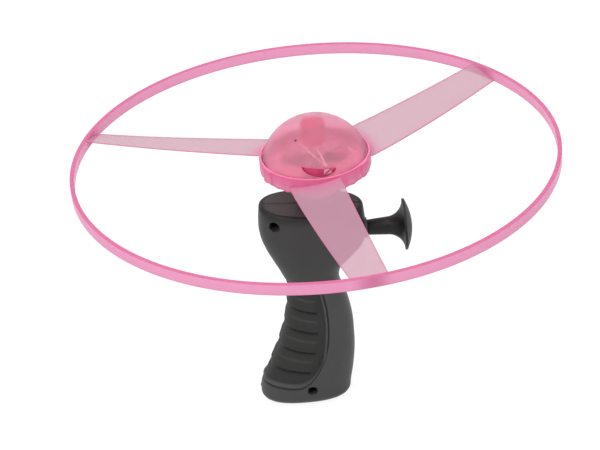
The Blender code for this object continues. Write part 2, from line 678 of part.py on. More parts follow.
def panel_depth(share, height):
    """How far the finger panel and its ridges sink below the grip's plain surface."""
    curl = PANEL_CURL * np.clip(share / PANEL_BACK, 0, 1) ** PANEL_CURL_POWER
    lower = PANEL_BOTTOM - PANEL_FALL * share + curl
    inside = 1 - ease(share, *PANEL_BACK_FADE)
    inside = inside * ease(height, lower, lower + PANEL_LOWER_STEP)
    inside = inside * (1 - ease(height, PANEL_TOP - PANEL_UPPER_FADE, PANEL_TOP))
    level = height + RIDGE_FALL * share
    ridge = 0.5 + 0.5 * np.cos(2 * pi * (level - GROOVE_HEIGHT) / RIDGE_PITCH)
    fade = 1 - ease(share, *RIDGE_FADE)
    return inside * (PANEL_DEPTH + RIDGE_DEPTH * ridge * fade)


def section_ring(height, inset, panel):
    """Points of one section, drawn in by an inset and, on the outside, by the finger panel."""
    front, back, half_width = section_at(height)
    angles = np.linspace(0, 2 * pi, SECTION_POINTS, endpoint=False) + pi / SECTION_POINTS
    power = 2 / SECTION_POWER
    across = np.sign(np.sin(angles)) * np.abs(np.sin(angles)) ** power
    along = np.sign(np.cos(angles)) * np.abs(np.cos(angles)) ** power
    middle = (front + back) / 2
    half_length = (back - front) / 2
    sunk = inset * np.ones_like(angles)
    if panel:
        sunk = sunk + panel_depth((1 + along) / 2, height)
    x = middle + (half_length - sunk) * along
    y = (half_width - sunk) * across
    lean = -TOP_RAKE * np.clip((height - RAKE_START) / (HEAD_TOP - RAKE_START), 0, 1)
    return [(px, py, height + lean * px) for px, py in zip(x, y)]


def grip_outside(name):
    """The launcher's outside, from its rounded foot to its raked top."""
    stations = []
    for angle in np.linspace(0, pi / 2, FOOT_ROUND_STEPS, endpoint=False):
        stations.append(section_ring(FOOT_ROUND * (1 - cos(angle)), FOOT_ROUND * (1 - sin(angle)), False))
    shoulder = HEAD_TOP - TOP_ROUND
    count = int((shoulder - FOOT_ROUND) / STATION_STEP) + 1
    for height in np.linspace(FOOT_ROUND, shoulder, count):
        stations.append(section_ring(height, 0, True))
    for angle in np.linspace(0, pi / 2, TOP_ROUND_STEPS + 1)[1:]:
        stations.append(section_ring(shoulder + TOP_ROUND * sin(angle), TOP_ROUND * (1 - cos(angle)), False))
    return loft(name, stations)


def grip_hollow(name):
    """The launcher's hollow, one wall inside its plain surface."""
    top = HEAD_TOP - SHELL_WALL
    count = int((top - SHELL_WALL) / HOLLOW_STATION_STEP) + 1
    heights = np.linspace(SHELL_WALL, top, count)
    return loft(name, [section_ring(height, SHELL_WALL, False) for height in heights])


def shells():
    """The two half shells, with their bosses, shelf, seats and openings."""
    hollow = grip_hollow("hollow")
    cut(hollow, box("shelf", (-PAST, -PAST, SHELF_TOP - SHELF_THICKNESS), (PAST, PAST, SHELF_TOP)))
    boss_radius = SCREW_HOLE + BOSS_WALL
    for name, (x, height) in SCREW_PLACES.items():
        cut(hollow, disc(f"{name}_boss", boss_radius, -PAST, PAST, SMALL, matrix=along_y(x, height)))
    body = grip_outside("body")
    cut(body, hollow)
    bush_hole = COLUMN_RADIUS + RUNNING + BUSH_WALL + FIT
    back = section_at(CORD_HEIGHT)[1]
    cut(body, disc("bush_hole", bush_hole, spring_top() - FIT, HEAD_TOP + SHELL_WALL, MEDIUM),
        disc("pin_seat", AXLE_RADIUS + FIT, SHELF_TOP - SHELF_THICKNESS - FIT, SHELF_TOP + FIT, COARSE),
        disc("eyelet_hole", EYELET_RADIUS + FIT, -EYELET_LENGTH, EYELET_LENGTH, MEDIUM,
             matrix=along_x(back, CORD_HEIGHT)))
    for name, (x, height) in SCREW_PLACES.items():
        pilot = SCREW_SHANK_RADIUS + FIT
        profile = [(0, -PAST), (SCREW_HOLE, -PAST), (SCREW_HOLE, -SCREW_SEAT), (pilot, -SCREW_SEAT),
                   (pilot, SCREW_BITE + FIT), (0, SCREW_BITE + FIT)]
        cut(body, turned(f"{name}_hole", profile, SMALL, matrix=along_y(x, height)))
    other = copy_of(body, "grip_shell_far")
    body.name = "grip_shell_near"
    combine(body, box("near_side", (-PAST, -PAST, -PAST), (PAST, -SEAM / 2, PAST)), "INTERSECT")
    combine(other, box("far_side", (-PAST, SEAM / 2, -PAST), (PAST, PAST, PAST)), "INTERSECT")
    for shell in (body, other):
        shell.data.name = shell.name
        shell.data.materials.clear()
        shell.data.materials.append(paint(shell.name, **DARK))
        shell.data.shade_smooth()
        shell.data.set_sharp_from_angle(angle=SMOOTH_ANGLE)


def screws():
    """Cross-slot screws, each in its recess on the near side."""
    seat = -SCREW_SEAT - FIT
    head = seat - SCREW_HEAD
    profile = [(0, SCREW_BITE), (SCREW_SHANK_RADIUS, SCREW_BITE), (SCREW_SHANK_RADIUS, seat),
               (SCREW_HEAD_RADIUS, seat), (SCREW_HEAD_RADIUS, head + SCREW_CROWN),
               (SCREW_CROWN_RADIUS, head), (0, head)]
    slots = ((SCREW_SLOT_REACH, SCREW_SLOT_HALF_WIDTH), (SCREW_SLOT_HALF_WIDTH, SCREW_SLOT_REACH))
    for name, (x, height) in SCREW_PLACES.items():
        piece = turned(name, profile, SMALL, STEEL, matrix=along_y(x, height))
        for wide, tall in slots:
            low = (x - wide, head - FIT, height - tall)
            high = (x + wide, head + SCREW_SLOT_DEPTH, height + tall)
            cut(piece, box("cross_slot", low, high))


# Pull knob

def crown(face_edge, start, end):
    """Points of the knob's bulged outer face between two radii."""
    radii = np.linspace(start, end, KNOB_CROWN_POINTS)
    return [(float(r), KNOB_LENGTH + KNOB_CROWN * (1 - (r / face_edge) ** 2)) for r in radii]


def pull_knob(parent):
    """Trumpet-shaped knob with its cap, the cord's knot and the cord's lead."""
    back = section_at(CORD_HEIGHT)[1]
    face = back + EYELET_PROUD + FIT
    matrix = along_x(face, CORD_HEIGHT)
    spread = KNOB_LENGTH - KNOB_STEM_LENGTH - KNOB_RIM
    trumpet = []
    for angle in np.linspace(0, pi / 2, KNOB_FLARE_POINTS):
        trumpet.append((KNOB_NECK_RADIUS + (KNOB_RIM_RADIUS - KNOB_NECK_RADIUS) * (1 - cos(angle)),
                        KNOB_STEM_LENGTH + spread * sin(angle)))
    outline = [(KNOB_BORE, 0), (KNOB_STEM_RADIUS, 0)] + trumpet
    outline += [(KNOB_RIM_RADIUS, KNOB_LENGTH - KNOB_RIM / 2), (KNOB_RIM_RADIUS - KNOB_RIM / 2, KNOB_LENGTH)]
    face_edge = KNOB_RIM_RADIUS - KNOB_RIM / 2
    outline += crown(face_edge, face_edge, KNOB_RECESS_RADIUS)[1:]
    outline += [(KNOB_RECESS_RADIUS, KNOB_LENGTH - KNOB_RECESS), (KNOB_BORE, KNOB_LENGTH - KNOB_RECESS)]
    turned("pull_knob", outline, MEDIUM, DARK, parent, matrix)
    cap_low = KNOB_LENGTH - KNOB_CAP
    cap_radius = KNOB_RECESS_RADIUS - FIT
    cap = [(0, cap_low), (cap_radius, cap_low)] + crown(face_edge, cap_radius, 0)
    turned("knob_cap", cap, MEDIUM, DARK, parent, matrix)
    knot_low = KNOB_LENGTH - KNOB_RECESS + FIT
    disc("cord_knot", KNOT_RADIUS, knot_low, knot_low + KNOT_LENGTH - FIT, SMALL, WHITE, parent, matrix)
    leave = SPOOL_DRUM_RADIUS + FIT + WINDING_DEPTH + FIT + CORD_RADIUS
    route = [(0, -leave, CORD_HEIGHT)]
    route += [(x, y, CORD_HEIGHT) for x, y in CORD_ROUTE]
    route += [(back, 0, CORD_HEIGHT), (face + knot_low - FIT, 0, CORD_HEIGHT)]
    wire("cord_lead", smooth_path(route, WIRE_POINTS), CORD_RADIUS, WHITE, parent)


def eyelet():
    """Bush in the head's back wall that the cord runs through and the knob rests on."""
    back = section_at(CORD_HEIGHT)[1]
    start = EYELET_PROUD - EYELET_LENGTH
    profile = [
        (EYELET_BORE, EYELET_PROUD), (EYELET_RADIUS, EYELET_PROUD), (EYELET_RADIUS, start),
        (EYELET_BORE + EYELET_ROUND, start), (EYELET_BORE, start + EYELET_ROUND),
    ]
    turned("cord_eyelet", profile, COARSE, DARK, None, along_x(back, CORD_HEIGHT))


def main():
    """Clear the scene and build every piece."""
    for old in list(bpy.data.objects):
        bpy.data.objects.remove(old)
    rotor = joint_empty("rotor_axis", (0, 0, RING_PLANE))
    spindle = joint_empty("drive_axis", (0, 0, SPOOL_MIDDLE_Z))
    pull = joint_empty("pull_axis", (section_at(CORD_HEIGHT)[1], 0, CORD_HEIGHT))
    shells()
    screws()
    eyelet()
    bearings()
    drive(spindle)
    pull_knob(pull)
    hub_socket(rotor)
    propeller(rotor)
    electronics(rotor)
    dome(rotor)


main()
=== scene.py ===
"""Dressed scene of a flying propeller toy: tinted rotor, light dome, pistol-grip launcher and pull knob.

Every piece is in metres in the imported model's own frame: the floor under the rotor's axis is the origin,
+X points to the pull knob, -Y to the camera and +Z up.
"""

from __future__ import annotations

import logging
import math
from dataclasses import dataclass, field
from enum import Enum
from typing import Any, Callable, Mapping, Sequence

import bmesh
import bpy
import numpy as np
from mathutils import Matrix

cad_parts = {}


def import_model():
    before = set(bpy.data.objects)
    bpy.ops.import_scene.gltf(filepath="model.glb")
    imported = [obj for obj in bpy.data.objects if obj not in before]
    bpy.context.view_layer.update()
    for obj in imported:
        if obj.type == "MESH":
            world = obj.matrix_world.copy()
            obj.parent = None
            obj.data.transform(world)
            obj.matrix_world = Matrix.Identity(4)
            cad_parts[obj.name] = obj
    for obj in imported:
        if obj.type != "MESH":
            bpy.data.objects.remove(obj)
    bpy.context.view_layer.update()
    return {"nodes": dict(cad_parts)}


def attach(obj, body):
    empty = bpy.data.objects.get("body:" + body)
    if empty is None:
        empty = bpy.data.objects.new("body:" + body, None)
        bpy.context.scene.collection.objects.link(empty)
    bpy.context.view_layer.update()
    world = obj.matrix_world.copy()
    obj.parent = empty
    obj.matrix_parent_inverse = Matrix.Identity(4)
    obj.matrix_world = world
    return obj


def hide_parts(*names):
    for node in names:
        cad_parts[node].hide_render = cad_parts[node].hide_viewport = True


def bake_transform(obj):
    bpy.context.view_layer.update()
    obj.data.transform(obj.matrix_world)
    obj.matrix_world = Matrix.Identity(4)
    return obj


LOG = logging.getLogger("propeller_toy")
WELD = 1e-7
DIGITS = 5
TURN = 2.0 * math.pi

Colour = tuple[float, float, float]
Point = tuple[float, float, float]
Span = tuple[float, float]


class Body(Enum):
    """The bodies that pieces ride on."""

    LAUNCHER = "launcher"
    ROTOR = "rotor"
    KNOB = "knob"


class Slot(Enum):
    """Material slot names; no piece in this script uses them."""

    PINK_CLEAR = "pink_clear"
    PINK_FROSTED = "pink_frosted"
    GREY_MOULDED = "grey_moulded"
    STEEL = "steel"
    CORD = "cord"


class Side(Enum):
    """The launcher's two halves, by the sign of their y."""

    NEAR = -1
    FAR = 1


# Shader maths


def joined(operation: str, swapped: bool = False) -> Callable[["Value", "Value | float"], "Value"]:
    """Write a method that joins a shader number with another one.

    Args:
        operation: The Math node's operation.
        swapped: Whether the other number comes first.

    Returns:
        The method.
    """
    def method(self: "Value", other: "Value | float") -> "Value":
        """One Math node on both numbers."""
        return self.tree.math(operation, *((other, self) if swapped else (self, other)))

    return method


class Value:
    """A shader number that can be used in Python expressions."""

    __add__ = joined("ADD")
    __sub__ = joined("SUBTRACT")
    __rsub__ = joined("SUBTRACT", swapped=True)
    __mul__ = joined("MULTIPLY")
    __truediv__ = joined("DIVIDE")
    __pow__ = joined("POWER")
    at_most = joined("MINIMUM")
    at_least = joined("MAXIMUM")

    def __init__(self, tree: "ShaderTree", socket: bpy.types.NodeSocket) -> None:
        """Keep the tree that adds nodes and the output socket that carries the number."""
        self.tree = tree
        self.socket = socket

    def clamped(self) -> "Value":
        """The number kept from 0 to 1."""
        return self.at_least(0.0).at_most(1.0)

    def eased(self, start: float, end: float) -> "Value":
        """Smooth step of the number.

        Args:
            start: The number at which the step is 0.
            end: The number at which the step is 1.

        Returns:
            A number from 0 to 1.
        """
        node = self.tree.node(
            "ShaderNodeMapRange",
            {"interpolation_type": "SMOOTHSTEP", "clamp": True},
            {"Value": self, "From Min": start, "From Max": end, "To Min": 0.0, "To Max": 1.0},
        )
        return Value(self.tree, node.outputs["Result"])


class ShaderTree:
    """The nodes of one material or world."""

    def __init__(self, tree: bpy.types.NodeTree) -> None:
        """Keep an emptied node tree."""
        self.tree = tree
        tree.nodes.clear()

    def node(self, kind: str, settings: Mapping[str, Any] | None = None,
             inputs: Mapping[str | int, Any] | None = None) -> bpy.types.Node:
        """Add one node.

        Args:
            kind: The node's type.
            settings: Its properties, which are set first.
            inputs: Values or links for its input sockets, by name or index.

        Returns:
            The new node.
        """
        node = self.tree.nodes.new(kind)
        for name, value in (settings or {}).items():
            setattr(node, name, value)
        for name, value in (inputs or {}).items():
            socket = node.inputs[name]
            source = value.socket if isinstance(value, Value) else value
            if isinstance(source, bpy.types.NodeSocket):
                self.tree.links.new(source, socket)
            else:
                socket.default_value = value
        return node

    def math(self, operation: str, first: Value | float, second: Value | float) -> Value:
        """One Math node on two numbers."""
        node = self.node("ShaderNodeMath", {"operation": operation}, {0: first, 1: second})
        return Value(self, node.outputs[0])

    def place(self) -> bpy.types.NodeSocket:
        """Object coordinates, which are metres in the toy's frame."""
        return self.node("ShaderNodeTexCoord").outputs["Object"]

    def axis(self, letter: str) -> Value:
        """One component of the place."""
        node = self.node("ShaderNodeSeparateXYZ", {}, {"Vector": self.place()})
        return Value(self, node.outputs[letter])

    def distance(self, point: Sequence[float]) -> Value:
        """Distance in metres from a fixed point."""
        node = self.node("ShaderNodeVectorMath", {"operation": "DISTANCE"}, {0: self.place(), 1: tuple(point)})
        return Value(self, node.outputs["Value"])

    def noise(self, scale: float, detail: float = 2.0) -> Value:
        """Noise from 0 to 1 with a number of features to the metre."""
        node = self.node(
            "ShaderNodeTexNoise", {"noise_dimensions": "3D"},
            {"Vector": self.place(), "Scale": scale, "Detail": detail},
        )
        return Value(self, node.outputs[0])

    def wander(self, middle: Value | float, span: float, scale: float, detail: float = 2.0) -> Value:
        """A number that strays from its middle by noise.

        Args:
            middle: The number to stray from.
            span: The whole width of the straying.
            scale: The noise's features to the metre.
            detail: The noise's detail.

        Returns:
            The straying number.
        """
        return (self.noise(scale, detail) - 0.5) * span + middle

    def mark(self, name: str) -> Value:
        """A number that the mesh keeps at each point."""
        node = self.node("ShaderNodeAttribute", {"attribute_name": name})
        return Value(self, node.outputs["Fac"])

    def blend(self, factor: Value, start: Colour | bpy.types.NodeSocket,
              end: Colour | bpy.types.NodeSocket) -> bpy.types.NodeSocket:
        """Mix two colours.

        Args:
            factor: 0 for the start, 1 for the end.
            start: A colour, or the socket of one.
            end: A colour, or the socket of one.

        Returns:
            The mixed colour's socket.
        """
        wrap = [c if isinstance(c, bpy.types.NodeSocket) else (*c, 1.0) for c in (start, end)]
        node = self.node("ShaderNodeMix", {"data_type": "RGBA"}, {0: factor, 6: wrap[0], 7: wrap[1]})
        return node.outputs[2]

    def bump(self, height: Value, depth: float, strength: float) -> bpy.types.NodeSocket:
        """A normal bent by a height from 0 to 1.

        Args:
            height: The relief.
            depth: Its depth in metres.
            strength: How much of it shows.

        Returns:
            The normal's socket.
        """
        node = self.node("ShaderNodeBump", {}, {"Strength": strength, "Distance": depth, "Height": height})
        return node.outputs["Normal"]

    def surface(self, **inputs: Any) -> None:
        """Close a material with a Principled shader; spaces in socket names are written as underscores."""
        named = {name.replace("_", " "): value for name, value in inputs.items()}
        shader = self.node("ShaderNodeBsdfPrincipled", {}, named)
        self.node("ShaderNodeOutputMaterial", {}, {"Surface": shader.outputs[0]})


def new_tree(name: str) -> tuple[bpy.types.Material, ShaderTree]:
    """A material with an empty node tree."""
    material = bpy.data.materials.new(name)
    material.use_nodes = True
    return material, ShaderTree(material.node_tree)


# Finishes


@dataclass(frozen=True)
class TintedPlastic:
    """See-through moulded plastic whose edges carry a deeper tint than its faces."""

    name: str
    face: Colour
    edge: Colour
    face_alpha: float
    edge_alpha: float
    roughness: float
    # Painted light: emission standing in for light passing through the thin plastic.
    painted_glow: float = 0.0
    cloud: float = 0.06
    cloud_scale: float = 90.0
    grain: float = 0.08
    grain_scale: float = 900.0
    ior: float = 1.18

    def material(self) -> bpy.types.Material:
        """Mix face and edge tints by the mesh's own edge mark, clouded a little by noise.

        Returns:
            The finished material.
        """
        material, tree = new_tree(self.name)
        edge = tree.mark("edge")
        tint = tree.wander(edge, self.cloud, self.cloud_scale, 3.0).clamped()
        colour = tree.blend(tint, self.face, self.edge)
        tree.surface(
            Base_Color=colour,
            Roughness=tree.wander(self.roughness, self.grain, self.grain_scale),
            Alpha=edge * (self.edge_alpha - self.face_alpha) + self.face_alpha,
            IOR=self.ior,
            Emission_Color=colour,
            # Painted light: emission standing in for light passing through the plastic.
            Emission_Strength=self.painted_glow,
        )
        return material


@dataclass(frozen=True)
class FrostedDome:
    """Frosted tinted plastic, paler and hazier towards its rim, with a moulding gate's mark and a painted
    window whose inside is painted shade.
    """

    name: str
    crown: Colour
    rim: Colour
    gate_colour: Colour
    # Painted shade: the shaded pink inside seen through the window.
    window_shade: Colour
    window_edge: Colour
    clear: float
    crown_roughness: float
    rim_roughness: float
    rim_height: float
    crown_height: float
    gate: Point
    gate_radius: float
    window_middle: Span
    window_reach: Span
    window_fall: float
    window_near: Span = (-0.012, -0.010)
    window_rim: Span = (0.97, 1.0)
    window_line: Span = (0.84, 0.90)
    window_top: Span = (-0.04, 0.0)
    cloud: float = 0.3
    cloud_scale: float = 60.0
    haze_cloud: float = 0.04
    ior: float = 1.07

    def window(self, tree: ShaderTree) -> tuple[Value, Value]:
        """The lower half of an ellipse on the dome's near side.

        Args:
            tree: The material's tree.

        Returns:
            1 inside the window, and 1 along its curved edge.
        """
        across = tree.axis("X") - self.window_middle[0]
        aside = across / self.window_reach[0]
        below = (tree.axis("Z") - self.window_middle[1] + across * self.window_fall) / self.window_reach[1]
        spread = (aside * aside + below * below) ** 0.5
        near = 1.0 - tree.axis("Y").eased(*self.window_near)
        inside = (1.0 - spread.eased(*self.window_rim)) * (1.0 - below.eased(*self.window_top)) * near
        return inside, inside * spread.eased(*self.window_line)

    def material(self) -> bpy.types.Material:
        """Blend rim to crown by height, darken a dot round the gate and tint the window with painted shade.

        Returns:
            The finished material.
        """
        material, tree = new_tree(self.name)
        rise = tree.axis("Z").eased(self.rim_height, self.crown_height)
        height = tree.wander(rise, self.cloud, self.cloud_scale, 3.0).clamped()
        tint = tree.blend(height, self.rim, self.crown)
        dot = 1.0 - tree.distance(self.gate).eased(self.gate_radius * 0.5, self.gate_radius)
        inside, edge = self.window(tree)
        # Painted shade inside the window, with a deeper edge.
        tint = tree.blend(edge, tree.blend(inside, tint, self.window_shade), self.window_edge)
        haze = self.rim_roughness - rise * (self.rim_roughness - self.crown_roughness)
        tree.surface(
            Base_Color=tree.blend(dot, tint, self.gate_colour),
            Roughness=tree.wander(haze, self.haze_cloud, self.cloud_scale, 3.0),
            Transmission_Weight=self.clear,
            IOR=self.ior,
        )
        return material


@dataclass(frozen=True)
class MouldedGrip:
    """Dark satin plastic, matt in the finger panel. Painted shade darkens the creases under the pads, the
    panel's rebate, a band under the head's rim and the screw holes; painted highlights lighten the pads' upper
    lips, the bead and the head's top; painted bounce light from the floor makes it lighter towards the foot.
    """

    name: str
    plain: Colour
    panel: Colour
    # Painted shade colour for the creases, the rebate, the band under the head's rim and the screw holes.
    crease_shade: Colour
    # Painted highlight colour for the pads' upper lips, the bead and the head's top.
    painted_highlight: Colour
    # Painted bounce light from the floor: the lighter colour towards the foot.
    bounce_light: Colour
    plain_roughness: float
    panel_roughness: float
    # Heights over which the painted bounce light fades out going up.
    bounce_heights: Span = (0.055, 0.090)
    patch: float = 0.5
    patch_scale: float = 55.0
    grain: float = 0.12
    grain_scale: float = 2400.0
    grain_depth: float = 0.00005
    grain_strength: float = 0.5
    ior: float = 1.47
    gloss: float = 0.20

    def material(self) -> bpy.types.Material:
        """Mix the colours by the mesh's own marks, which carry painted shade and painted highlights, with
        painted bounce light lighter towards the foot and a fine grain.

        Returns:
            The finished material.
        """
        material, tree = new_tree(self.name)
        inside = tree.mark("panel")
        shade = tree.wander(inside, self.patch, self.patch_scale, 4.0).clamped()
        grain = tree.noise(self.grain_scale, 3.0)
        rough = inside * (self.panel_roughness - self.plain_roughness) + self.plain_roughness
        # Painted bounce light from the floor, lighter towards the foot.
        bounced = 1.0 - tree.axis("Z").eased(*self.bounce_heights)
        moulded = tree.blend(shade, tree.blend(bounced, self.plain, self.bounce_light), self.panel)
        # Painted highlights, then painted shade, over the moulded colour.
        painted_highlight = tree.blend(tree.mark("painted_highlight"), moulded, self.painted_highlight)
        tree.surface(
            Base_Color=tree.blend(tree.mark("crease_shade"), painted_highlight, self.crease_shade),
            Roughness=rough + (grain - 0.5) * self.grain,
            Normal=tree.bump(grain, self.grain_depth, self.grain_strength),
            IOR=self.ior,
            Specular_IOR_Level=self.gloss,
        )
        return material


@dataclass(frozen=True)
class PlainPlastic:
    """One-colour moulded plastic with a faint grain."""

    name: str
    colour: Colour
    roughness: float
    gloss: float = 0.5
    shade: float = 0.9
    shade_scale: float = 120.0
    grain: float = 0.12
    grain_scale: float = 1800.0

    def material(self) -> bpy.types.Material:
        """One colour, a little mottled, with roughness that wanders a little.

        Returns:
            The finished material.
        """
        material, tree = new_tree(self.name)
        low = tuple(self.shade * part for part in self.colour)
        tree.surface(
            Base_Color=tree.blend(tree.noise(self.shade_scale), low, self.colour),
            Roughness=tree.wander(self.roughness, self.grain, self.grain_scale),
            Specular_IOR_Level=self.gloss,
        )
        return material


@dataclass(frozen=True)
class BrightMetal:
    """Plated or drawn metal."""

    name: str
    colour: Colour
    roughness: float
    grain: float = 0.14
    grain_scale: float = 700.0

    def material(self) -> bpy.types.Material:
        """A metal whose roughness wanders a little.

        Returns:
            The finished material.
        """
        material, tree = new_tree(self.name)
        tree.surface(
            Base_Color=(*self.colour, 1.0),
            Metallic=1.0,
            Roughness=tree.wander(self.roughness, self.grain, self.grain_scale),
        )
        return material


@dataclass(frozen=True)
class TwistedCord:
    """Braided nylon cord."""

    name: str
    colour: Colour
    shade: Colour
    pitch: float
    roughness: float = 0.8
    strand_depth: float = 0.0001
    strand_strength: float = 0.6

    def material(self) -> bpy.types.Material:
        """Slanted strands from the piece's own UV map: u runs round the cord and v along it in metres.

        Returns:
            The finished material.
        """
        material, tree = new_tree(self.name)
        uv = tree.node("ShaderNodeUVMap", {"uv_map": "UVMap"})
        parts = tree.node("ShaderNodeSeparateXYZ", {}, {"Vector": uv.outputs[0]})
        round_cord = Value(tree, parts.outputs["X"])
        along = Value(tree, parts.outputs["Y"])
        phase = (round_cord + along / self.pitch) * TURN
        strand = tree.math("SINE", phase, 0.0) * 0.5 + 0.5
        tree.surface(
            Base_Color=tree.blend(strand, self.shade, self.colour),
            Roughness=self.roughness,
            Normal=tree.bump(strand, self.strand_depth, self.strand_strength),
        )
        return material


@dataclass(frozen=True)
class Finishes:
    """Every finish on the toy."""

    # The ring's emission is painted light standing in for light passing through it.
    ring: TintedPlastic = TintedPlastic(
        "ring_tint", face=(0.90, 0.39, 0.61), edge=(0.60, 0.14, 0.29),
        face_alpha=0.86, edge_alpha=0.92, roughness=0.30, painted_glow=0.14)
    blade: TintedPlastic = TintedPlastic(
        "blade_tint", face=(0.60, 0.33, 0.42), edge=(0.70, 0.22, 0.38),
        face_alpha=0.57, edge_alpha=0.72, roughness=0.30)
    hub: TintedPlastic = TintedPlastic(
        "hub_tint", face=(0.90, 0.34, 0.52), edge=(0.84, 0.13, 0.33),
        face_alpha=0.78, edge_alpha=0.92, roughness=0.30)
    boss: TintedPlastic = TintedPlastic(
        "boss_tint", face=(0.72, 0.005, 0.23), edge=(0.58, 0.002, 0.15),
        face_alpha=1.0, edge_alpha=1.0, roughness=0.30)
    # The dome's window colour is painted shade of the inside.
    dome: FrostedDome = FrostedDome(
        "dome_frost", crown=(0.88, 0.53, 0.64), rim=(0.96, 0.65, 0.77), gate_colour=(0.20, 0.06, 0.12),
        window_shade=(0.86, 0.20, 0.42), window_edge=(0.56, 0.04, 0.16), clear=0.82,
        crown_roughness=0.31, rim_roughness=0.48, rim_height=0.1460, crown_height=0.1640,
        gate=(-0.00918, -0.01272, 0.16129), gate_radius=0.0009,
        window_middle=(0.0012, 0.1508), window_reach=(0.0087, 0.0038), window_fall=0.119)
    # The grip's painted shade, painted highlight and painted bounce light colours.
    grip: MouldedGrip = MouldedGrip(
        "grip_satin", plain=(0.053, 0.052, 0.051), panel=(0.034, 0.034, 0.033), crease_shade=(0.001, 0.001, 0.001),
        painted_highlight=(0.096, 0.094, 0.090), bounce_light=(0.074, 0.073, 0.075), plain_roughness=0.44, panel_roughness=0.58)
    knob: PlainPlastic = PlainPlastic("knob_satin", (0.008, 0.008, 0.008), 0.50, 0.3)
    cell: BrightMetal = BrightMetal("cell_steel", (0.68, 0.27, 0.36), 0.70)
    dark: PlainPlastic = PlainPlastic("dark_moulding", (0.050, 0.050, 0.048), 0.5)
    white: PlainPlastic = PlainPlastic("white_moulding", (0.80, 0.79, 0.75), 0.5)
    board: PlainPlastic = PlainPlastic("pink_board", (0.70, 0.22, 0.32), 0.55)
    lens: PlainPlastic = PlainPlastic("led_lens", (0.86, 0.55, 0.60), 0.15)
    steel: BrightMetal = BrightMetal("plated_steel", (0.66, 0.65, 0.63), 0.28)
    star: BrightMetal = BrightMetal("star_tin", (0.66, 0.34, 0.42), 0.50)
    wire: PlainPlastic = PlainPlastic("pale_wire", (0.92, 0.80, 0.56), 0.5)
    tab: BrightMetal = BrightMetal("contact_tin", (0.62, 0.24, 0.34), 0.45)
    # Painted shadow: the dark colour of the tube in the contact's fold.
    fold_shade: PlainPlastic = PlainPlastic("contact_shade", (0.20, 0.02, 0.06), 0.6, 0.2)
    # Painted shade: near-black screws stand in for the deep shadow in the screw holes.
    screw_shade: BrightMetal = BrightMetal("screw_painted_shade", (0.010, 0.010, 0.010), 0.6)
    lead: BrightMetal = BrightMetal("tinned_lead", (0.86, 0.76, 0.50), 0.3)
    cord: TwistedCord = TwistedCord("cord_braid", (0.80, 0.79, 0.75), (0.55, 0.54, 0.50), 0.0016)


# Surfaces


def eased(value: np.ndarray, start: float | np.ndarray, end: float | np.ndarray) -> np.ndarray:
    """Smooth step: 0 before start, 1 after end, and 3t^2 - 2t^3 between them.

    Args:
        value: The numbers to step.
        start: Where the step begins.
        end: Where the step ends.

    Returns:
        Numbers from 0 to 1.
    """
    t = np.clip((value - start) / (end - start), 0.0, 1.0)
    return t * t * (3.0 - 2.0 * t)


def rounded(profile: Sequence[tuple[float, float]], radius: float, count: int = 5,
            closed: bool = True) -> np.ndarray:
    """Round a profile's corners: each becomes a quadratic curve between points a radius before and after it.

    Args:
        profile: Corner points.
        radius: How far from each corner its curve starts, at most half of either side.
        count: Points on each curve.
        closed: Whether the last corner joins the first; else the first and last points are kept sharp.

    Returns:
        The rounded points, closed by repeating the first where the profile is closed.
    """
    corner = np.array(profile, float)
    before = np.roll(corner, 1, axis=0) - corner
    after = np.roll(corner, -1, axis=0) - corner
    before_length = np.linalg.norm(before, axis=1, keepdims=True)
    after_length = np.linalg.norm(after, axis=1, keepdims=True)
    reach = np.minimum(radius, 0.49 * np.minimum(before_length, after_length))
    start = corner + before / before_length * reach
    end = corner + after / after_length * reach
    t = np.linspace(0.0, 1.0, count)[None, :, None]
    curve = (1 - t) ** 2 * start[:, None] + 2 * t * (1 - t) * corner[:, None] + t ** 2 * end[:, None]
    if closed:
        points = curve.reshape(-1, 2)
        return np.vstack([points, points[:1]])
    return np.vstack([corner[:1], curve[1:-1].reshape(-1, 2), corner[-1:]])


def spun(profile: np.ndarray, steps: int) -> np.ndarray:
    """Carry a profile of (radius, height) points once round Z: (r cos a, r sin a, h) on a grid.

    Args:
        profile: The profile's points.
        steps: Steps in the full turn.

    Returns:
        Points with one row for each profile point.
    """
    angle = np.linspace(0.0, TURN, steps + 1)
    radius = profile[:, :1]
    height = profile[:, 1:] + 0.0 * angle
    return np.stack([radius * np.cos(angle), radius * np.sin(angle), height], axis=-1)


def laid_along_x(points: np.ndarray, x: float, height: float) -> np.ndarray:
    """Turn points spun round Z so that their axis runs along +X from a given place.

    Args:
        points: Points spun round Z.
        x: Where their height 0 lands on X.
        height: The axis's height above the floor.

    Returns:
        The turned points.
    """
    return np.stack([x + points[..., 2], points[..., 1], height - points[..., 0]], axis=-1)


def tube(path: np.ndarray, radius: float, steps: int) -> np.ndarray:
    """Carry a circle along a nearly level path: centre + r (n cos a + z sin a), n level and square to the path.

    Args:
        path: Points of the path.
        radius: The circle's radius.
        steps: Steps round the circle.

    Returns:
        Points with one row for each path point, and a collapsed row at each end.
    """
    run = np.gradient(path, axis=0)
    run /= np.linalg.norm(run, axis=1, keepdims=True)
    level = np.stack([-run[:, 1], run[:, 0], np.zeros(len(run))], axis=-1)
    angle = np.linspace(0.0, TURN, steps + 1)
    circle = level[:, None] * np.cos(angle)[None, :, None]
    circle = circle + np.array([0.0, 0.0, 1.0]) * np.sin(angle)[None, :, None]
    body = path[:, None] + radius * circle
    first = np.repeat(path[:1, None], steps + 1, axis=1)
    last = np.repeat(path[-1:, None], steps + 1, axis=1)
    return np.concatenate([first, body, last])


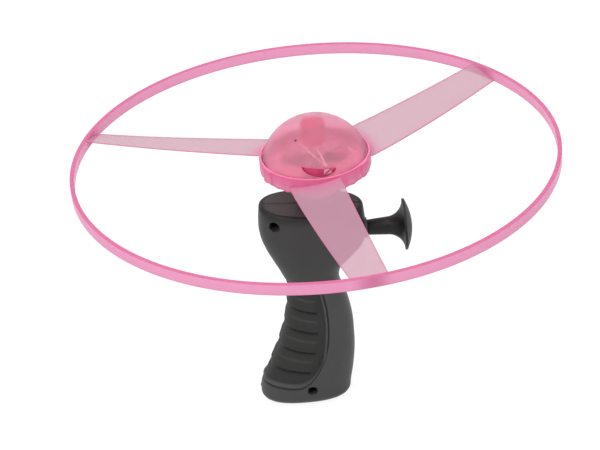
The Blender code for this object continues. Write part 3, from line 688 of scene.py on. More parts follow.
def smooth_path(points: Sequence[Sequence[float]], per_span: int) -> np.ndarray:
    """Catmull-Rom curve through given points.

    Args:
        points: The points.
        per_span: Points on each span.

    Returns:
        The curve's points.
    """
    knot = np.array(points, float)
    padded = np.vstack([2 * knot[0] - knot[1], knot, 2 * knot[-1] - knot[-2]])
    a, b, c, d = (padded[i:len(padded) - 3 + i, None] for i in range(4))
    t = (np.arange(per_span) / per_span)[None, :, None]
    curve = 0.5 * (2 * b + (c - a) * t + (2 * a - 5 * b + 4 * c - d) * t ** 2
                   + (3 * b - a - 3 * c + d) * t ** 3)
    return np.vstack([curve.reshape(-1, knot.shape[1]), knot[-1:]])


def surface_object(name: str, points: np.ndarray, material: bpy.types.Material,
                   marks: Mapping[str, np.ndarray] | None = None, uv: np.ndarray | None = None,
                   sharp: float = 38.0) -> bpy.types.Object:
    """Turn a grid of points into a welded, outward-facing object.

    Args:
        name: The piece's name.
        points: Rows and columns of points; rows or columns that meet are welded.
        material: Its finish.
        marks: Numbers kept at each point, by name.
        uv: A UV pair at each point.
        sharp: Angle in degrees above which an edge stays sharp.

    Returns:
        The object, linked to the scene.
    """
    rows, columns = points.shape[:2]
    index = np.arange(rows * columns).reshape(rows, columns)
    corners = [index[:-1, :-1], index[:-1, 1:], index[1:, 1:], index[1:, :-1]]
    quads = np.stack(corners, axis=-1).reshape(-1, 4)
    mesh = bpy.data.meshes.new(name)
    mesh.from_pydata(points.reshape(-1, 3).tolist(), [], quads.tolist())
    for mark, values in (marks or {}).items():
        layer = mesh.attributes.new(mark, "FLOAT", "POINT")
        layer.data.foreach_set("value", np.ascontiguousarray(values, np.float32).reshape(-1))
    if uv is not None:
        layer = mesh.uv_layers.new(name="UVMap")
        at_corners = uv.reshape(-1, 2)[quads.reshape(-1)]
        layer.data.foreach_set("uv", at_corners.astype(np.float32).reshape(-1))
    work = bmesh.new()
    work.from_mesh(mesh)
    bmesh.ops.remove_doubles(work, verts=work.verts, dist=WELD)
    bmesh.ops.recalc_face_normals(work, faces=work.faces)
    work.to_mesh(mesh)
    work.free()
    mesh.shade_smooth()
    mesh.set_sharp_from_angle(angle=math.radians(sharp))
    mesh.materials.append(material)
    piece = bpy.data.objects.new(name, mesh)
    bpy.context.scene.collection.objects.link(piece)
    return piece


def place(piece: bpy.types.Object, body: Body, nodes: Sequence[str]) -> None:
    """Hang a piece on its body and the nodes it stands for, and report it.

    Args:
        piece: The new piece.
        body: The body that it rides on.
        nodes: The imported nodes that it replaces.
    """
    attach(piece, body.value)
    if nodes:
        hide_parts(*nodes)
    LOG.info("%s: %d faces on %s", piece.name, len(piece.data.polygons), body.value)


def dress(nodes: Mapping[str, bpy.types.Object], names: Sequence[str], material: bpy.types.Material) -> None:
    """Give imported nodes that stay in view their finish.

    Args:
        nodes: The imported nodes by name.
        names: The nodes to dress.
        material: Their finish.
    """
    for name in names:
        mesh = nodes[name].data
        mesh.materials.clear()
        mesh.materials.append(material)
        LOG.info("%s: kept, finish %s", name, material.name)


# Sub-assemblies


@dataclass
class Rotor:
    """Outer ring, three blades, hub cup, light dome and what the dome holds."""

    finishes: Finishes
    ring_radius: float = 0.125
    ring_wall: float = 0.0023
    ring_height: float = 0.0062
    ring_corner: float = 0.0007
    ring_steps: int = 288
    ring_edge: Span = (0.7, 1.0)
    joint_spread: float = 0.065
    joint_tint: float = 0.8
    plane: float = 0.1432
    blade_azimuths: Mapping[str, float] = field(
        default_factory=lambda: {"blade_near": -90.0, "blade_right": 30.0, "blade_left": 150.0})
    root_chord: float = 0.0265
    tip_chord: float = 0.0165
    root_offset: float = -0.0017
    sweep: float = 0.0224
    blade_thickness: float = 0.0012
    root_pitch: float = math.radians(8.8)
    tip_pitch: float = math.radians(15.0)
    root_rise: float = 0.0004
    sag: float = 0.0010
    blade_rows: int = 61
    blade_columns: int = 65
    blade_power: float = 0.3
    blade_rim: Span = (0.93, 0.99)
    root_join: Span = (0.03, 0.09)
    tip_join: Span = (0.955, 1.0)
    join_tint: float = 0.7
    collar_radius: float = 0.0285
    collar_wall: float = 0.0013
    collar_top: float = 0.0035
    collar_bottom: float = 0.0040
    tier_radius: float = 0.0267
    tier_wall: float = 0.0013
    tier_depth: float = 0.0060
    tier_slope: float = 0.0004
    hub_floor: float = 0.0015
    hub_corner: float = 0.0005
    hub_skin: float = 0.0004
    hub_steps: int = 270
    ledge_rise: float = 0.0018
    scallops: int = 27
    scallop_depth: float = 0.0004
    scallop_rise: Span = (-0.0002, 0.0022)
    clips: int = 3
    clip_width: float = 0.0075
    clip_proud: float = 0.0007
    clip_ease: float = 0.0005
    clip_line: float = 0.0006
    brim: Span = (-0.0012, -0.0002)
    foot_line: float = 0.0012
    foot_tint: float = 0.6
    dome_radius: float = 0.0267
    dome_cap_radius: float = 0.0280
    dome_wall: float = 0.0013
    dome_top: float = 0.0229
    dome_rows: tuple[int, int] = (45, 33)
    dome_steps: int = 128
    boss_radius: float = 0.0061
    boss_bore: float = 0.0028
    boss_bottom: float = 0.010
    boss_corner: float = 0.0003
    boss_steps: int = 64
    boss_shade: float = 0.002
    led_height: float = 0.0076
    contact_low: Span = (0.0036, 0.1478)
    contact_high: Span = (0.0072, 0.1501)
    contact_proud: float = 0.0002
    contact_sheet: float = 0.0003
    contact_points: int = 9
    slit_radius: float = 0.00038
    slit_reach: Span = (0.15, 0.95)
    wires: Mapping[str, Span] = field(
        default_factory=lambda: {"wire_left": (-0.0012, -0.0042), "wire_right": (0.0012, 0.0012)})
    wire_radius: float = 0.00042
    wire_sides: int = 10
    wire_foot: Span = (-0.0020, 0.1515)
    wire_bend: Span = (-0.0066, 0.1524)
    wire_end: Span = (-0.0222, 0.1500)
    fit: float = 0.0003

    def build(self, nodes: Mapping[str, bpy.types.Object]) -> None:
        """Make the rotor's new pieces and dress the nodes that stay.

        Args:
            nodes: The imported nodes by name.
        """
        place(self.ring(), Body.ROTOR, ["propeller"])
        tint = self.finishes.blade.material()
        for name, azimuth in self.blade_azimuths.items():
            place(self.blade(name, math.radians(azimuth), tint), Body.ROTOR, ["propeller"])
        place(self.hub(), Body.ROTOR, ["propeller"])
        place(self.dome(), Body.ROTOR, ["dome"])
        place(self.boss(), Body.ROTOR, ["dome"])
        place(self.contact(), Body.ROTOR, [])
        place(self.slit(), Body.ROTOR, [])
        for name, (foot, bend) in self.wires.items():
            place(self.wire(name, foot, bend), Body.ROTOR, [])
        dress(nodes, ["hub_socket"], self.finishes.hub.material())
        dress(nodes, ["light_board"], self.finishes.board.material())
        dress(nodes, ["led"], self.finishes.lens.material())
        dress(nodes, ["led_lead_to_cells", "led_lead_to_board"], self.finishes.lead.material())
        dress(nodes, ["button_cell_1", "button_cell_2", "button_cell_3"], self.finishes.cell.material())
        dress(nodes, ["contact_star"], self.finishes.star.material())

    def ring(self) -> bpy.types.Object:
        """Spin a rounded upright rectangle once round the axis.

        Its corners carry the edge mark, and so do the blades' joints, as a bell curve of the angle from each.

        Returns:
            The ring.
        """
        half = self.ring_height / 2
        inner = self.ring_radius - self.ring_wall
        corners = [(inner, self.plane - half), (self.ring_radius, self.plane - half),
                   (self.ring_radius, self.plane + half), (inner, self.plane + half)]
        points = spun(rounded(corners, self.ring_corner, count=6), self.ring_steps)
        rise = np.abs(points[..., 2] - self.plane) / half
        lead = math.asin((self.root_offset + self.sweep) / inner)
        turn = np.arctan2(points[..., 1], points[..., 0]) - lead
        away = [np.abs(np.angle(np.exp(1j * (turn - math.radians(azimuth)))))
                for azimuth in self.blade_azimuths.values()]
        joint = np.exp(-(np.min(away, axis=0) / self.joint_spread) ** 2)
        edge = np.maximum(eased(rise, *self.ring_edge), self.joint_tint * joint)
        return surface_object("rotor_ring", points, self.finishes.ring.material(), {"edge": edge})

    def blade(self, name: str, azimuth: float, tint: bpy.types.Material) -> bpy.types.Object:
        """Carry a flat, round-edged section from the collar's wall to the ring's.

        Along the blade, chord and pitch run in a line from root to tip, the middle drifts sideways by the sweep
        and sags as 4s(1-s). Round the section, the chord goes as cos a and the thickness as sin a to a low
        power, which keeps the faces flat.

        Args:
            name: The piece's name.
            azimuth: The blade's own direction in radians.
            tint: Its finish.

        Returns:
            The blade.
        """
        share = np.linspace(0.0, 1.0, self.blade_rows)[:, None]
        root = self.collar_radius - self.collar_wall / 2
        tip = self.ring_radius - self.ring_wall / 2
        radius = root + share * (tip - root)
        chord = self.root_chord + share * (self.tip_chord - self.root_chord)
        pitch = self.root_pitch + share * (self.tip_pitch - self.root_pitch)
        middle = self.plane + self.root_rise * (1 - share) - self.sag * 4 * share * (1 - share)
        aside = self.root_offset + share * self.sweep
        angle = np.linspace(0.0, TURN, self.blade_columns)[None, :]
        side = 0.5 * chord * np.cos(angle)
        swell = np.sign(np.sin(angle)) * np.abs(np.sin(angle)) ** self.blade_power
        thick = 0.5 * self.blade_thickness * swell * np.where((share == 0.0) | (share == 1.0), 0.0, 1.0)
        turn = azimuth + np.arcsin((aside + side * np.cos(pitch)) / radius)
        height = middle + side * np.sin(pitch) + thick
        points = np.stack([radius * np.cos(turn), radius * np.sin(turn), height], axis=-1)
        rim = eased(np.abs(np.cos(angle)) + 0.0 * share, *self.blade_rim)
        join = np.maximum(eased(share, *self.tip_join), 1.0 - eased(share, *self.root_join))
        return surface_object(name, points, tint, {"edge": np.maximum(rim, self.join_tint * join)})

    def hub(self) -> bpy.types.Object:
        """Spin the cup's two-tier profile; its lower edge waves as a cosine and three clips stand proud of it.

        Returns:
            The hub cup.
        """
        top = self.plane + self.collar_top
        low = self.plane - self.collar_bottom
        bottom = self.plane - self.tier_depth
        floor = bottom + self.hub_floor
        ledge = low + self.ledge_rise
        cup_wall = self.collar_radius - self.collar_wall
        tier_wall = self.tier_radius - self.tier_wall
        corners = [(0.0, floor), (tier_wall, floor), (tier_wall, ledge), (cup_wall, ledge), (cup_wall, top),
                   (self.collar_radius, top), (self.collar_radius, low),
                   (self.tier_radius, low - self.tier_slope), (self.tier_radius, bottom), (0.0, bottom)]
        points = spun(rounded(corners, self.hub_corner, closed=False), self.hub_steps)
        angle = np.arctan2(points[..., 1], points[..., 0])
        radius = np.hypot(points[..., 0], points[..., 1])
        wall = eased(radius, cup_wall + self.hub_skin, self.collar_radius)
        wave = np.cos(self.scallops * angle) * self.scallop_depth
        lower = 1.0 - eased(points[..., 2] - low, *self.scallop_rise)
        outer = eased(radius, self.tier_radius - self.hub_skin, self.tier_radius)
        points[..., 2] += wave * lower * outer
        apart = TURN / self.clips
        turn = np.mod(angle - math.pi / 2 + apart / 2, apart) - apart / 2
        across = np.abs(turn) * self.collar_radius
        half_clip = self.clip_width / 2
        clip = 1.0 - eased(across, half_clip - self.clip_ease, half_clip)
        grow = 1.0 + clip * wall * self.clip_proud / self.collar_radius
        points[..., :2] *= grow[..., None]
        brim = eased(points[..., 2] - top, *self.brim) * wall
        foot = outer * (1.0 - eased(points[..., 2], low, low + self.foot_line))
        edge_of_clip = np.exp(-((across - half_clip) / self.clip_line) ** 2) * wall
        edge = np.clip(np.maximum(np.maximum(brim, self.foot_tint * foot), edge_of_clip), 0.0, 1.0)
        return surface_object("hub_cup", points, self.finishes.hub.material(), {"edge": edge})

    def dome(self) -> bpy.types.Object:
        """Spin a shell: two arcs, outer and inner, closed at the crown, each on a plain skirt down to the rim.

        Returns:
            The dome.
        """
        cap = self.dome_cap_radius
        inner_cap = cap - self.dome_wall
        inner = self.dome_radius - self.dome_wall
        centre = self.plane + self.dome_top - cap
        rim = self.plane - self.collar_bottom + self.ledge_rise + self.fit
        out_angle = np.linspace(0.0, math.asin(self.dome_radius / cap), self.dome_rows[0])
        in_angle = np.linspace(math.asin(inner / inner_cap), 0.0, self.dome_rows[1])
        profile = np.vstack([
            np.stack([cap * np.sin(out_angle), centre + cap * np.cos(out_angle)], -1),
            [(self.dome_radius, rim), (inner, rim)],
            np.stack([inner_cap * np.sin(in_angle), centre + inner_cap * np.cos(in_angle)], -1),
        ])
        return surface_object("light_dome", spun(profile, self.dome_steps), self.finishes.dome.material())

    def on_dome(self, x: np.ndarray, z: np.ndarray) -> np.ndarray:
        """Points just outside the dome's near side: y follows from the cap's sphere.

        Args:
            x: Places across.
            z: Heights.

        Returns:
            The points.
        """
        reach = self.dome_cap_radius + self.contact_proud
        rise = z - (self.plane + self.dome_top - self.dome_cap_radius)
        return np.stack([x, -np.sqrt(reach ** 2 - x ** 2 - rise ** 2), z], axis=-1)

    def contact(self) -> bpy.types.Object:
        """The sheet of the battery contact that shows in the dome's window, a patch of the cap's sphere.

        Returns:
            The contact, with a Solidify sheet.
        """
        across, upward = (np.linspace(low, high, self.contact_points)
                          for low, high in zip(self.contact_low, self.contact_high))
        points = self.on_dome(*np.meshgrid(across, upward))
        piece = surface_object("contact_tab", points, self.finishes.tab.material())
        sheet = piece.modifiers.new("sheet", "SOLIDIFY")
        sheet.thickness = self.contact_sheet
        sheet.offset = 0.0
        return piece

    def slit(self) -> bpy.types.Object:
        """The contact's fold, a dark tube of painted shadow on the cap's sphere between two corners of the
        sheet.

        Returns:
            The fold.
        """
        share = np.linspace(*self.slit_reach, self.contact_points)
        x, z = (low + share * (high - low) for low, high in zip(self.contact_low, self.contact_high))
        points = tube(self.on_dome(x, z), self.slit_radius, self.wire_sides)
        # Painted shadow along the contact's fold.
        return surface_object("contact_fold_shade", points, self.finishes.fold_shade.material())

    def wire(self, name: str, foot: float, bend: float) -> bpy.types.Object:
        """A pale wire under the dome, a tube on a curve from the LED's foot round a bend to the contact.

        Args:
            name: The piece's name.
            foot: The x of its upper end.
            bend: The x of its bend.

        Returns:
            The wire.
        """
        end = (self.contact_low[0] + self.contact_high[0]) / 2
        knots = [(foot, *self.wire_foot), (bend, *self.wire_bend), (end, *self.wire_end)]
        points = tube(smooth_path(knots, per_span=8), self.wire_radius, self.wire_sides)
        return surface_object(name, points, self.finishes.wire.material())

    def boss(self) -> bpy.types.Object:
        """Spin the LED's boss, a tube with a crowned roof, from under the dome's crown.

        Returns:
            The boss.
        """
        bottom = self.plane + self.boss_bottom
        inner = self.dome_cap_radius - self.dome_wall - self.fit
        centre = self.plane + self.dome_top - self.dome_cap_radius
        shoulder = centre + math.sqrt(inner ** 2 - self.boss_radius ** 2)
        crown = bottom + self.led_height + self.fit
        roof = centre + inner
        corners = [(0.0, crown), (self.boss_bore, crown), (self.boss_bore, bottom), (self.boss_radius, bottom),
                   (self.boss_radius, shoulder), (0.0, roof)]
        points = spun(rounded(corners, self.boss_corner, count=4, closed=False), self.boss_steps)
        edge = eased(points[..., 2], shoulder - self.boss_shade, shoulder)
        return surface_object("led_boss", points, self.finishes.boss.material(), {"edge": edge})


@dataclass
class Launcher:
    """Two grip halves with their finger panels and the cord's eyelet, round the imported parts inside."""

    finishes: Finishes
    wall: float = 0.0018
    seam: float = 0.0003
    seam_chamfer: float = 0.00022
    seam_ease: float = 0.0005
    round_steps: int = 6
    foot_round: float = 0.0052
    top_round: float = 0.0016
    head_top: float = 0.1166
    rake: float = 0.080
    rake_start: float = 0.087
    power: float = 2.35
    top_rows: int = 12
    bush_hole: float = 0.0083
    bush_depth: float = 0.0022
    sections: tuple[tuple[float, float, float, float], ...] = (
        (0.0000, -0.0386, 0.0086, 0.0135),
        (0.0082, -0.0388, 0.0096, 0.0138),
        (0.0170, -0.0357, 0.0113, 0.0142),
        (0.0286, -0.0303, 0.0128, 0.0145),
        (0.0385, -0.0264, 0.0131, 0.0145),
        (0.0486, -0.0234, 0.0128, 0.0142),
        (0.0606, -0.0212, 0.0107, 0.0135),
        (0.0716, -0.0204, 0.0075, 0.0131),
        (0.0803, -0.0233, 0.0092, 0.0138),
        (0.0870, -0.0264, 0.0156, 0.0149),
        (0.0931, -0.0293, 0.0211, 0.0157),
        (0.0997, -0.0315, 0.0233, 0.0161),
        (0.1064, -0.0321, 0.0232, 0.0161),
        (0.1187, -0.0307, 0.0223, 0.0158),
    )
    panel_back: float = 0.598
    panel_bottom: float = 0.0152
    panel_fall: float = 0.0050
    panel_top: float = 0.0765
    panel_curl: float = 0.0160
    curl_limit: float = 1.1
    curl_power: int = 8
    panel_depth: float = 0.0008
    panel_edge: Span = (-0.0002, 0.0007)
    lower_slope: float = 0.6
    upper_slope: float = 0.35
    front_depth: float = 0.55
    front_reach: float = 0.12
    bead_height: float = 0.0005
    bead_offset: float = 0.0004
    bead_width: float = 0.0006
    bead_top: float = 0.066
    # Painted highlight on the bead.
    bead_highlight: float = 0.45
    rebate_offset: float = 0.0013
    rebate_depth: float = 0.0005
    rebate_width: float = 0.0004
    rebate_shade: float = 0.8
    pad_low: float = 0.0238
    pad_pitch: float = 0.0122
    pad_tall: float = 0.0068
    pad_fall: float = 0.0052
    pad_back: Span = (0.465, 0.505)
    pad_inset: Span = (0.0004, 0.0016)
    pad_lower_edge: float = 0.0008
    pad_upper_edge: Span = (-0.0008, 0.0006)
    pad_undercut: float = 0.6
    # Painted highlight along each pad's upper lip: its width and strength.
    lip_width: float = 0.0005
    lip_highlight: float = 0.3
    # Painted shade line along each pad's lower edge: width, reach below the lowest pad and fade at the front.
    crease_width: float = 0.0012
    crease_drop: float = 0.002
    crease_front: Span = (0.01, 0.1)
    screws: tuple[Span, ...] = ((-0.0238, 0.1118), (0.0170, 0.1098), (-0.0116, 0.0097))
    nubs: tuple[float, ...] = (0.0908, 0.0077)
    nub_size: float = 0.0006
    nub_spread: float = 0.0005
    nub_width: Span = (0.0004, 0.0011)
    # Painted highlight on the head's top face, lit from above.
    top_highlight: float = 0.55
    # Painted shade in a band under the head's rim, standing in for the rotor's shadow.
    rim_shade: float = 0.6
    rim_shade_depth: float = 0.0065
    screw_hole: float = 0.0025
    screw_seat: float = 0.0030
    hole_ease: float = 0.00015
    column_count: int = 61
    seam_columns: tuple[float, float, int] = (0.0015, 1.7, 8)
    panel_columns: tuple[float, float, int] = (0.08, -0.06, 26)
    screw_columns: tuple[float, float, int] = (0.0032, -0.0032, 20)
    row_step: float = 0.0016
    panel_rows: tuple[float, float, float] = (0.011, 0.078, 0.0007)
    nub_rows: tuple[float, float, int] = (-0.0012, 0.0012, 9)
    screw_rows: tuple[float, float, int] = (-0.0052, 0.0032, 26)
    eyelet_radius: float = 0.0054
    eyelet_bore: float = 0.0016
    eyelet_flare: float = 0.0008
    eyelet_length: float = 0.0040
    eyelet_proud: float = 0.0006
    eyelet_corner: float = 0.0005
    eyelet_steps: int = 64
    cord_height: float = 0.0997

    def build(self, nodes: Mapping[str, bpy.types.Object]) -> None:
        """Make the two halves and the eyelet, and dress the nodes that stay.

        Args:
            nodes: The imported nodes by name.
        """
        satin = self.finishes.grip.material()
        halves = {Side.NEAR: ("grip_half_near", "grip_shell_near"),
                  Side.FAR: ("grip_half_far", "grip_shell_far")}
        for side, (name, node) in halves.items():
            place(self.half(name, side, satin), Body.LAUNCHER, [node])
        place(self.eyelet(), Body.LAUNCHER, ["cord_eyelet"])
        # Painted shade: the screws are near black so that the holes read as deep shadow.
        dress(nodes, ["head_screw", "back_screw", "foot_screw"], self.finishes.screw_shade.material())
        dress(nodes, ["axle_pin", "return_spring"], self.finishes.steel.material())
        dress(nodes, ["spring_case", "spindle_bush"], self.finishes.dark.material())

    def section_at(self, height: np.ndarray) -> tuple[np.ndarray, np.ndarray, np.ndarray]:
        """Front edge, back edge and half width at each height, on a Hermite curve through the sections.

        Args:
            height: Heights above the floor.

        Returns:
            The three measures, each with the heights' shape.
        """
        table = np.array(self.sections)
        levels = table[:, 0]
        last = len(levels) - 1
        index = np.clip(np.searchsorted(levels, height) - 1, 0, last - 1)
        rows = [table[np.clip(index + step, 0, last)] for step in (-1, 0, 1, 2)]
        span = (rows[2][..., 0] - rows[1][..., 0])[..., None]
        t = (height[..., None] - rows[1][..., :1]) / span
        wide_before = np.maximum(rows[2][..., :1] - rows[0][..., :1], span)
        wide_after = np.maximum(rows[3][..., :1] - rows[1][..., :1], span)
        before = (rows[2] - rows[0]) / wide_before * span
        after = (rows[3] - rows[1]) / wide_after * span
        curve = ((2 * t ** 3 - 3 * t ** 2 + 1) * rows[1] + (t ** 3 - 2 * t ** 2 + t) * before
                 + (3 * t ** 2 - 2 * t ** 3) * rows[2] + (t ** 3 - t ** 2) * after)
        return curve[..., 1], curve[..., 2], curve[..., 3]

    def relief(self, share: np.ndarray, height: np.ndarray,
               length: np.ndarray) -> tuple[np.ndarray, dict[str, np.ndarray]]:
        """How far the surface sinks in the finger panel, and the marks that shade it.

        The distance inside the panel's border is the least of the distances to its back, lower and upper
        edges, the last two weighed by a slope. The panel sinks over 1 mm inside the border; a bead stands just
        outside it, with a rebate outside that, both bell curves of the distance. The finger pads rise to the
        plain surface again: each has a sharp lower edge, a soft upper edge and a round back end, and the floor
        deepens towards the pad above it.

        Args:
            share: Place along the section, 0 at its front and 1 at its back.
            height: Height above the floor.
            length: Length of the section.

        Returns:
            The sink in metres, and marks from 0 to 1: the panel; painted shade in the creases, the rebate and a
            band under the head's rim; painted highlights on the pads' lips and the bead.
        """
        curl = self.panel_curl * np.clip(share / self.panel_back, 0.0, self.curl_limit) ** self.curl_power
        to_lower = height - (self.panel_bottom - self.panel_fall * share + curl)
        to_back = (self.panel_back - share) * length
        to_upper = self.panel_top - height
        inside = np.minimum(np.minimum(to_back, self.lower_slope * to_lower), self.upper_slope * to_upper)
        panel = eased(inside, *self.panel_edge)
        below_top = 1.0 - eased(height, self.bead_top, self.panel_top)
        bead = np.exp(-((inside + self.bead_offset) / self.bead_width) ** 2) * below_top
        rebate = np.exp(-((inside + self.rebate_offset) / self.rebate_width) ** 2) * below_top
        level = height + self.pad_fall * share
        above_edge = np.mod(level - self.pad_low, self.pad_pitch)
        lower_edge = eased(above_edge, 0.0, self.pad_lower_edge)
        upper_edge = eased(above_edge - self.pad_tall, *self.pad_upper_edge)
        reach = (1.0 - eased(share, *self.pad_back)) * eased(inside, *self.pad_inset)
        pad = lower_edge * (1.0 - upper_edge) * reach * (level > self.pad_low)
        deepen = self.pad_undercut * eased(above_edge, self.pad_tall, self.pad_pitch) * reach
        sink = panel * self.panel_depth * (1.0 + deepen) * (1.0 - pad)
        sink = sink * (self.front_depth + (1.0 - self.front_depth) * eased(share, 0.0, self.front_reach))
        sink = sink - self.bead_height * bead + self.rebate_depth * rebate
        # Painted shade along each pad's lower edge, where its shadow falls.
        under = np.minimum(2.0 * above_edge, self.pad_pitch - above_edge)
        crease_shade = np.exp(-(under / self.crease_width) ** 2) * reach * eased(share, *self.crease_front)
        crease_shade = crease_shade * (level > self.pad_low - self.crease_drop)
        # Painted highlight along each pad's upper lip, where the light catches it.
        lip = np.exp(-((above_edge - self.pad_tall) / self.lip_width) ** 2) * reach * (level > self.pad_low)
        # Painted shade in the rebate and in a band under the head's rim, standing in for the rotor's shadow.
        below_rim = 1.0 - eased(self.head_top - height, 0.0, self.rim_shade_depth)
        crease_shade = np.maximum(np.maximum(crease_shade, self.rebate_shade * rebate), self.rim_shade * below_rim)
        # Painted highlights on the lips and on the bead.
        painted_highlight = np.maximum(self.lip_highlight * lip, self.bead_highlight * bead)
        return sink, {"panel": panel, "crease_shade": crease_shade, "painted_highlight": painted_highlight}

    def angle_at(self, share: float) -> float:
        """The angle round a section at a place along it, 0 at its front and 1 at its back."""
        along = np.clip(2.0 * share - 1.0, -1.0, 1.0)
        return float(np.arccos(np.sign(along) * np.abs(along) ** (self.power / 2)))

    def columns(self, side: Side) -> np.ndarray:
        """Angles round half a section.

        They lie closer together at the seam, at the panel's back edge and, on the near side, at the screws.

        Args:
            side: Which half.

        Returns:
            The angles, rising from 0 at the back to pi at the front.
        """
        first, growth, count = self.seam_columns
        ends = first * growth ** np.arange(count)
        *reach, count = self.panel_columns
        parts = [np.linspace(0.0, math.pi, self.column_count), ends, math.pi - ends,
                 np.linspace(*(self.angle_at(self.panel_back + step) for step in reach), count)]
        if side is Side.NEAR:
            *reach, count = self.screw_columns
            for x, height in self.screws:
                front, back, _ = (float(part[0]) for part in self.section_at(np.array([height])))
                shares = [(x + step - front) / (back - front) for step in reach]
                parts.append(np.linspace(*(self.angle_at(share) for share in shares), count))
        return np.unique(np.round(np.concatenate(parts), DIGITS))

    def rows(self, side: Side) -> np.ndarray:
        """Heights of the sections.

        They lie closer together in the finger panel, at the nubs and, on the near side, at the screws.

        Args:
            side: Which half.

        Returns:
            The heights, rising.
        """
        top = self.head_top - self.top_round
        parts = [np.arange(self.foot_round, top, self.row_step), np.arange(*self.panel_rows), np.array([top])]
        parts += [nub + np.linspace(*self.nub_rows) for nub in self.nubs]
        if side is Side.NEAR:
            parts += [height + np.linspace(*self.screw_rows) for _, height in self.screws]
        return np.unique(np.round(np.concatenate(parts), DIGITS))

    def half(self, name: str, side: Side, satin: bpy.types.Material) -> bpy.types.Object:
        """Half of the grip's outside, with a wall inside it.

        A section is a superellipse: x goes as |cos a| and y as |sin a|, each to the power 2 / p. The rows run
        from the seam on the floor round the foot, up the grip, over the head's edge and in to the spindle's
        hole. Round each screw, points nearer to its axis than the hole's radius move in to the screw's seat,
        and carry the painted shade mark: painted shade in the hole.

        Args:
            name: The piece's name.
            side: Which half.
            satin: Its finish.

        Returns:
            The half, with a Solidify wall.
        """
        angle = self.columns(side)
        arc = np.linspace(0.0, math.pi / 2, self.round_steps)
        heights = self.rows(side)
        level = np.concatenate([self.foot_round * (1 - np.cos(arc[:-1])), heights,
                                self.head_top - self.top_round + self.top_round * np.sin(arc[1:])])
        inset = np.concatenate([self.foot_round * (1 - np.sin(arc[:-1])), np.zeros(len(heights)),
                                self.top_round * (1 - np.cos(arc[1:]))])
        front, back, half_width = (part[:, None] for part in self.section_at(level))
        level = level[:, None]
        along = np.sign(np.cos(angle)) * np.abs(np.cos(angle)) ** (2 / self.power)
        across = np.abs(np.sin(angle)) ** (2 / self.power)
        share = (1 + along)[None, :] / 2 + 0.0 * level
        sink, marks = self.relief(share, level + 0.0 * share, back - front)
        edge = half_width * across[None, :]
        chamfer = self.seam_chamfer * (1.0 - eased(edge, self.seam, self.seam + self.seam_ease))
        chamfer = chamfer * eased(level, 0.0, self.foot_round)
        sink = sink + inset[:, None] + chamfer
        x = (front + back) / 2 + ((back - front) / 2 - sink) * along
        y = (half_width - sink) * across
        lean = -self.rake * np.clip((level - self.rake_start) / (self.head_top - self.rake_start), 0.0, 1.0)
        z = level + lean * x
        x, y, z = self._close(angle, x, y, z)
        added = ((1, len(x) - len(level) - 1), (0, 0))
        # Painted highlight on the head's top rows, lit from above.
        on_top = {"painted_highlight": self.top_highlight}
        marks = {mark: np.pad(values, added, constant_values=((0.0, on_top.get(mark, 0.0)), (0.0, 0.0)))
                 for mark, values in marks.items()}
        y = np.maximum(y + self.seam / 2 * (1.0 - np.sin(angle)), self.seam / 2)
        at_front = (1.0 - eased(y, *self.nub_width)) * (x < 0.0)
        for nub in self.nubs:
            x = x - self.nub_size * np.exp(-((z - nub) / self.nub_spread) ** 2) * at_front
        if side is Side.NEAR:
            for screw_x, screw_z in self.screws:
                away = np.hypot(x - screw_x, z - screw_z) - self.screw_hole
                hole = 1.0 - eased(away, -self.hole_ease, self.hole_ease)
                y = y + (self.screw_seat - y) * hole
                # Painted shade in each screw hole.
                marks["crease_shade"] = np.maximum(marks["crease_shade"], hole)
        points = np.stack([x, y * side.value, z], axis=-1)
        piece = surface_object(name, points, satin, marks, sharp=50.0)
        shell = piece.modifiers.new("wall", "SOLIDIFY")
        shell.thickness = self.wall
        shell.offset = -1.0
        return piece

    def _close(self, angle: np.ndarray, x: np.ndarray, y: np.ndarray,
               z: np.ndarray) -> tuple[np.ndarray, np.ndarray, np.ndarray]:
        """Add the floor's row on the seam below, and the head's top and the spindle hole's wall above.

        Args:
            angle: The columns' angles.
            x: The grip's x.
            y: The grip's distance from the seam.
            z: The grip's heights.

        Returns:
            The three arrays with the rows added.
        """
        share = np.linspace(0.0, 1.0, self.top_rows + 1)[1:, None]
        hole_x = self.bush_hole * np.cos(angle)[None, :]
        hole_y = self.bush_hole * np.sin(angle)[None, :]
        top_x = x[-1:] + share * (hole_x - x[-1:])
        top_y = y[-1:] + share * (hole_y - y[-1:])
        near_seam = 1.0 - eased(top_y, self.seam, self.seam + self.seam_ease)
        top_z = self.head_top - self.rake * top_x - self.seam_chamfer * near_seam
        deep = top_z[-1:] - self.bush_depth
        x = np.concatenate([x[:1], x, top_x, hole_x])
        z = np.concatenate([z[:1], z, top_z, deep])
        y = np.concatenate([0.0 * y[:1], y, top_y, hole_y])
        return x, y, z

    def eyelet(self) -> bpy.types.Object:
        """Spin the cord's bush and lay it along X in the head's back wall.

        Returns:
            The eyelet.
        """
        start = self.eyelet_proud - self.eyelet_length
        corners = [(self.eyelet_bore, self.eyelet_proud), (self.eyelet_radius, self.eyelet_proud),
                   (self.eyelet_radius, start), (self.eyelet_bore + self.eyelet_flare, start)]
        points = spun(rounded(corners, self.eyelet_corner), self.eyelet_steps)
        back = float(self.section_at(np.array([self.cord_height]))[1][0])
        return surface_object("eyelet_bush", laid_along_x(points, back, self.cord_height),
                              self.finishes.dark.material())


@dataclass
class Drive:
    """Spool, winding and the column that turns the rotor."""

    finishes: Finishes

    def build(self, nodes: Mapping[str, bpy.types.Object]) -> None:
        """Dress the drive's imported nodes.

        Args:
            nodes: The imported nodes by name.
        """
        dress(nodes, ["drive_column"], self.finishes.dark.material())
        dress(nodes, ["cord_spool", "cord_winding"], self.finishes.white.material())


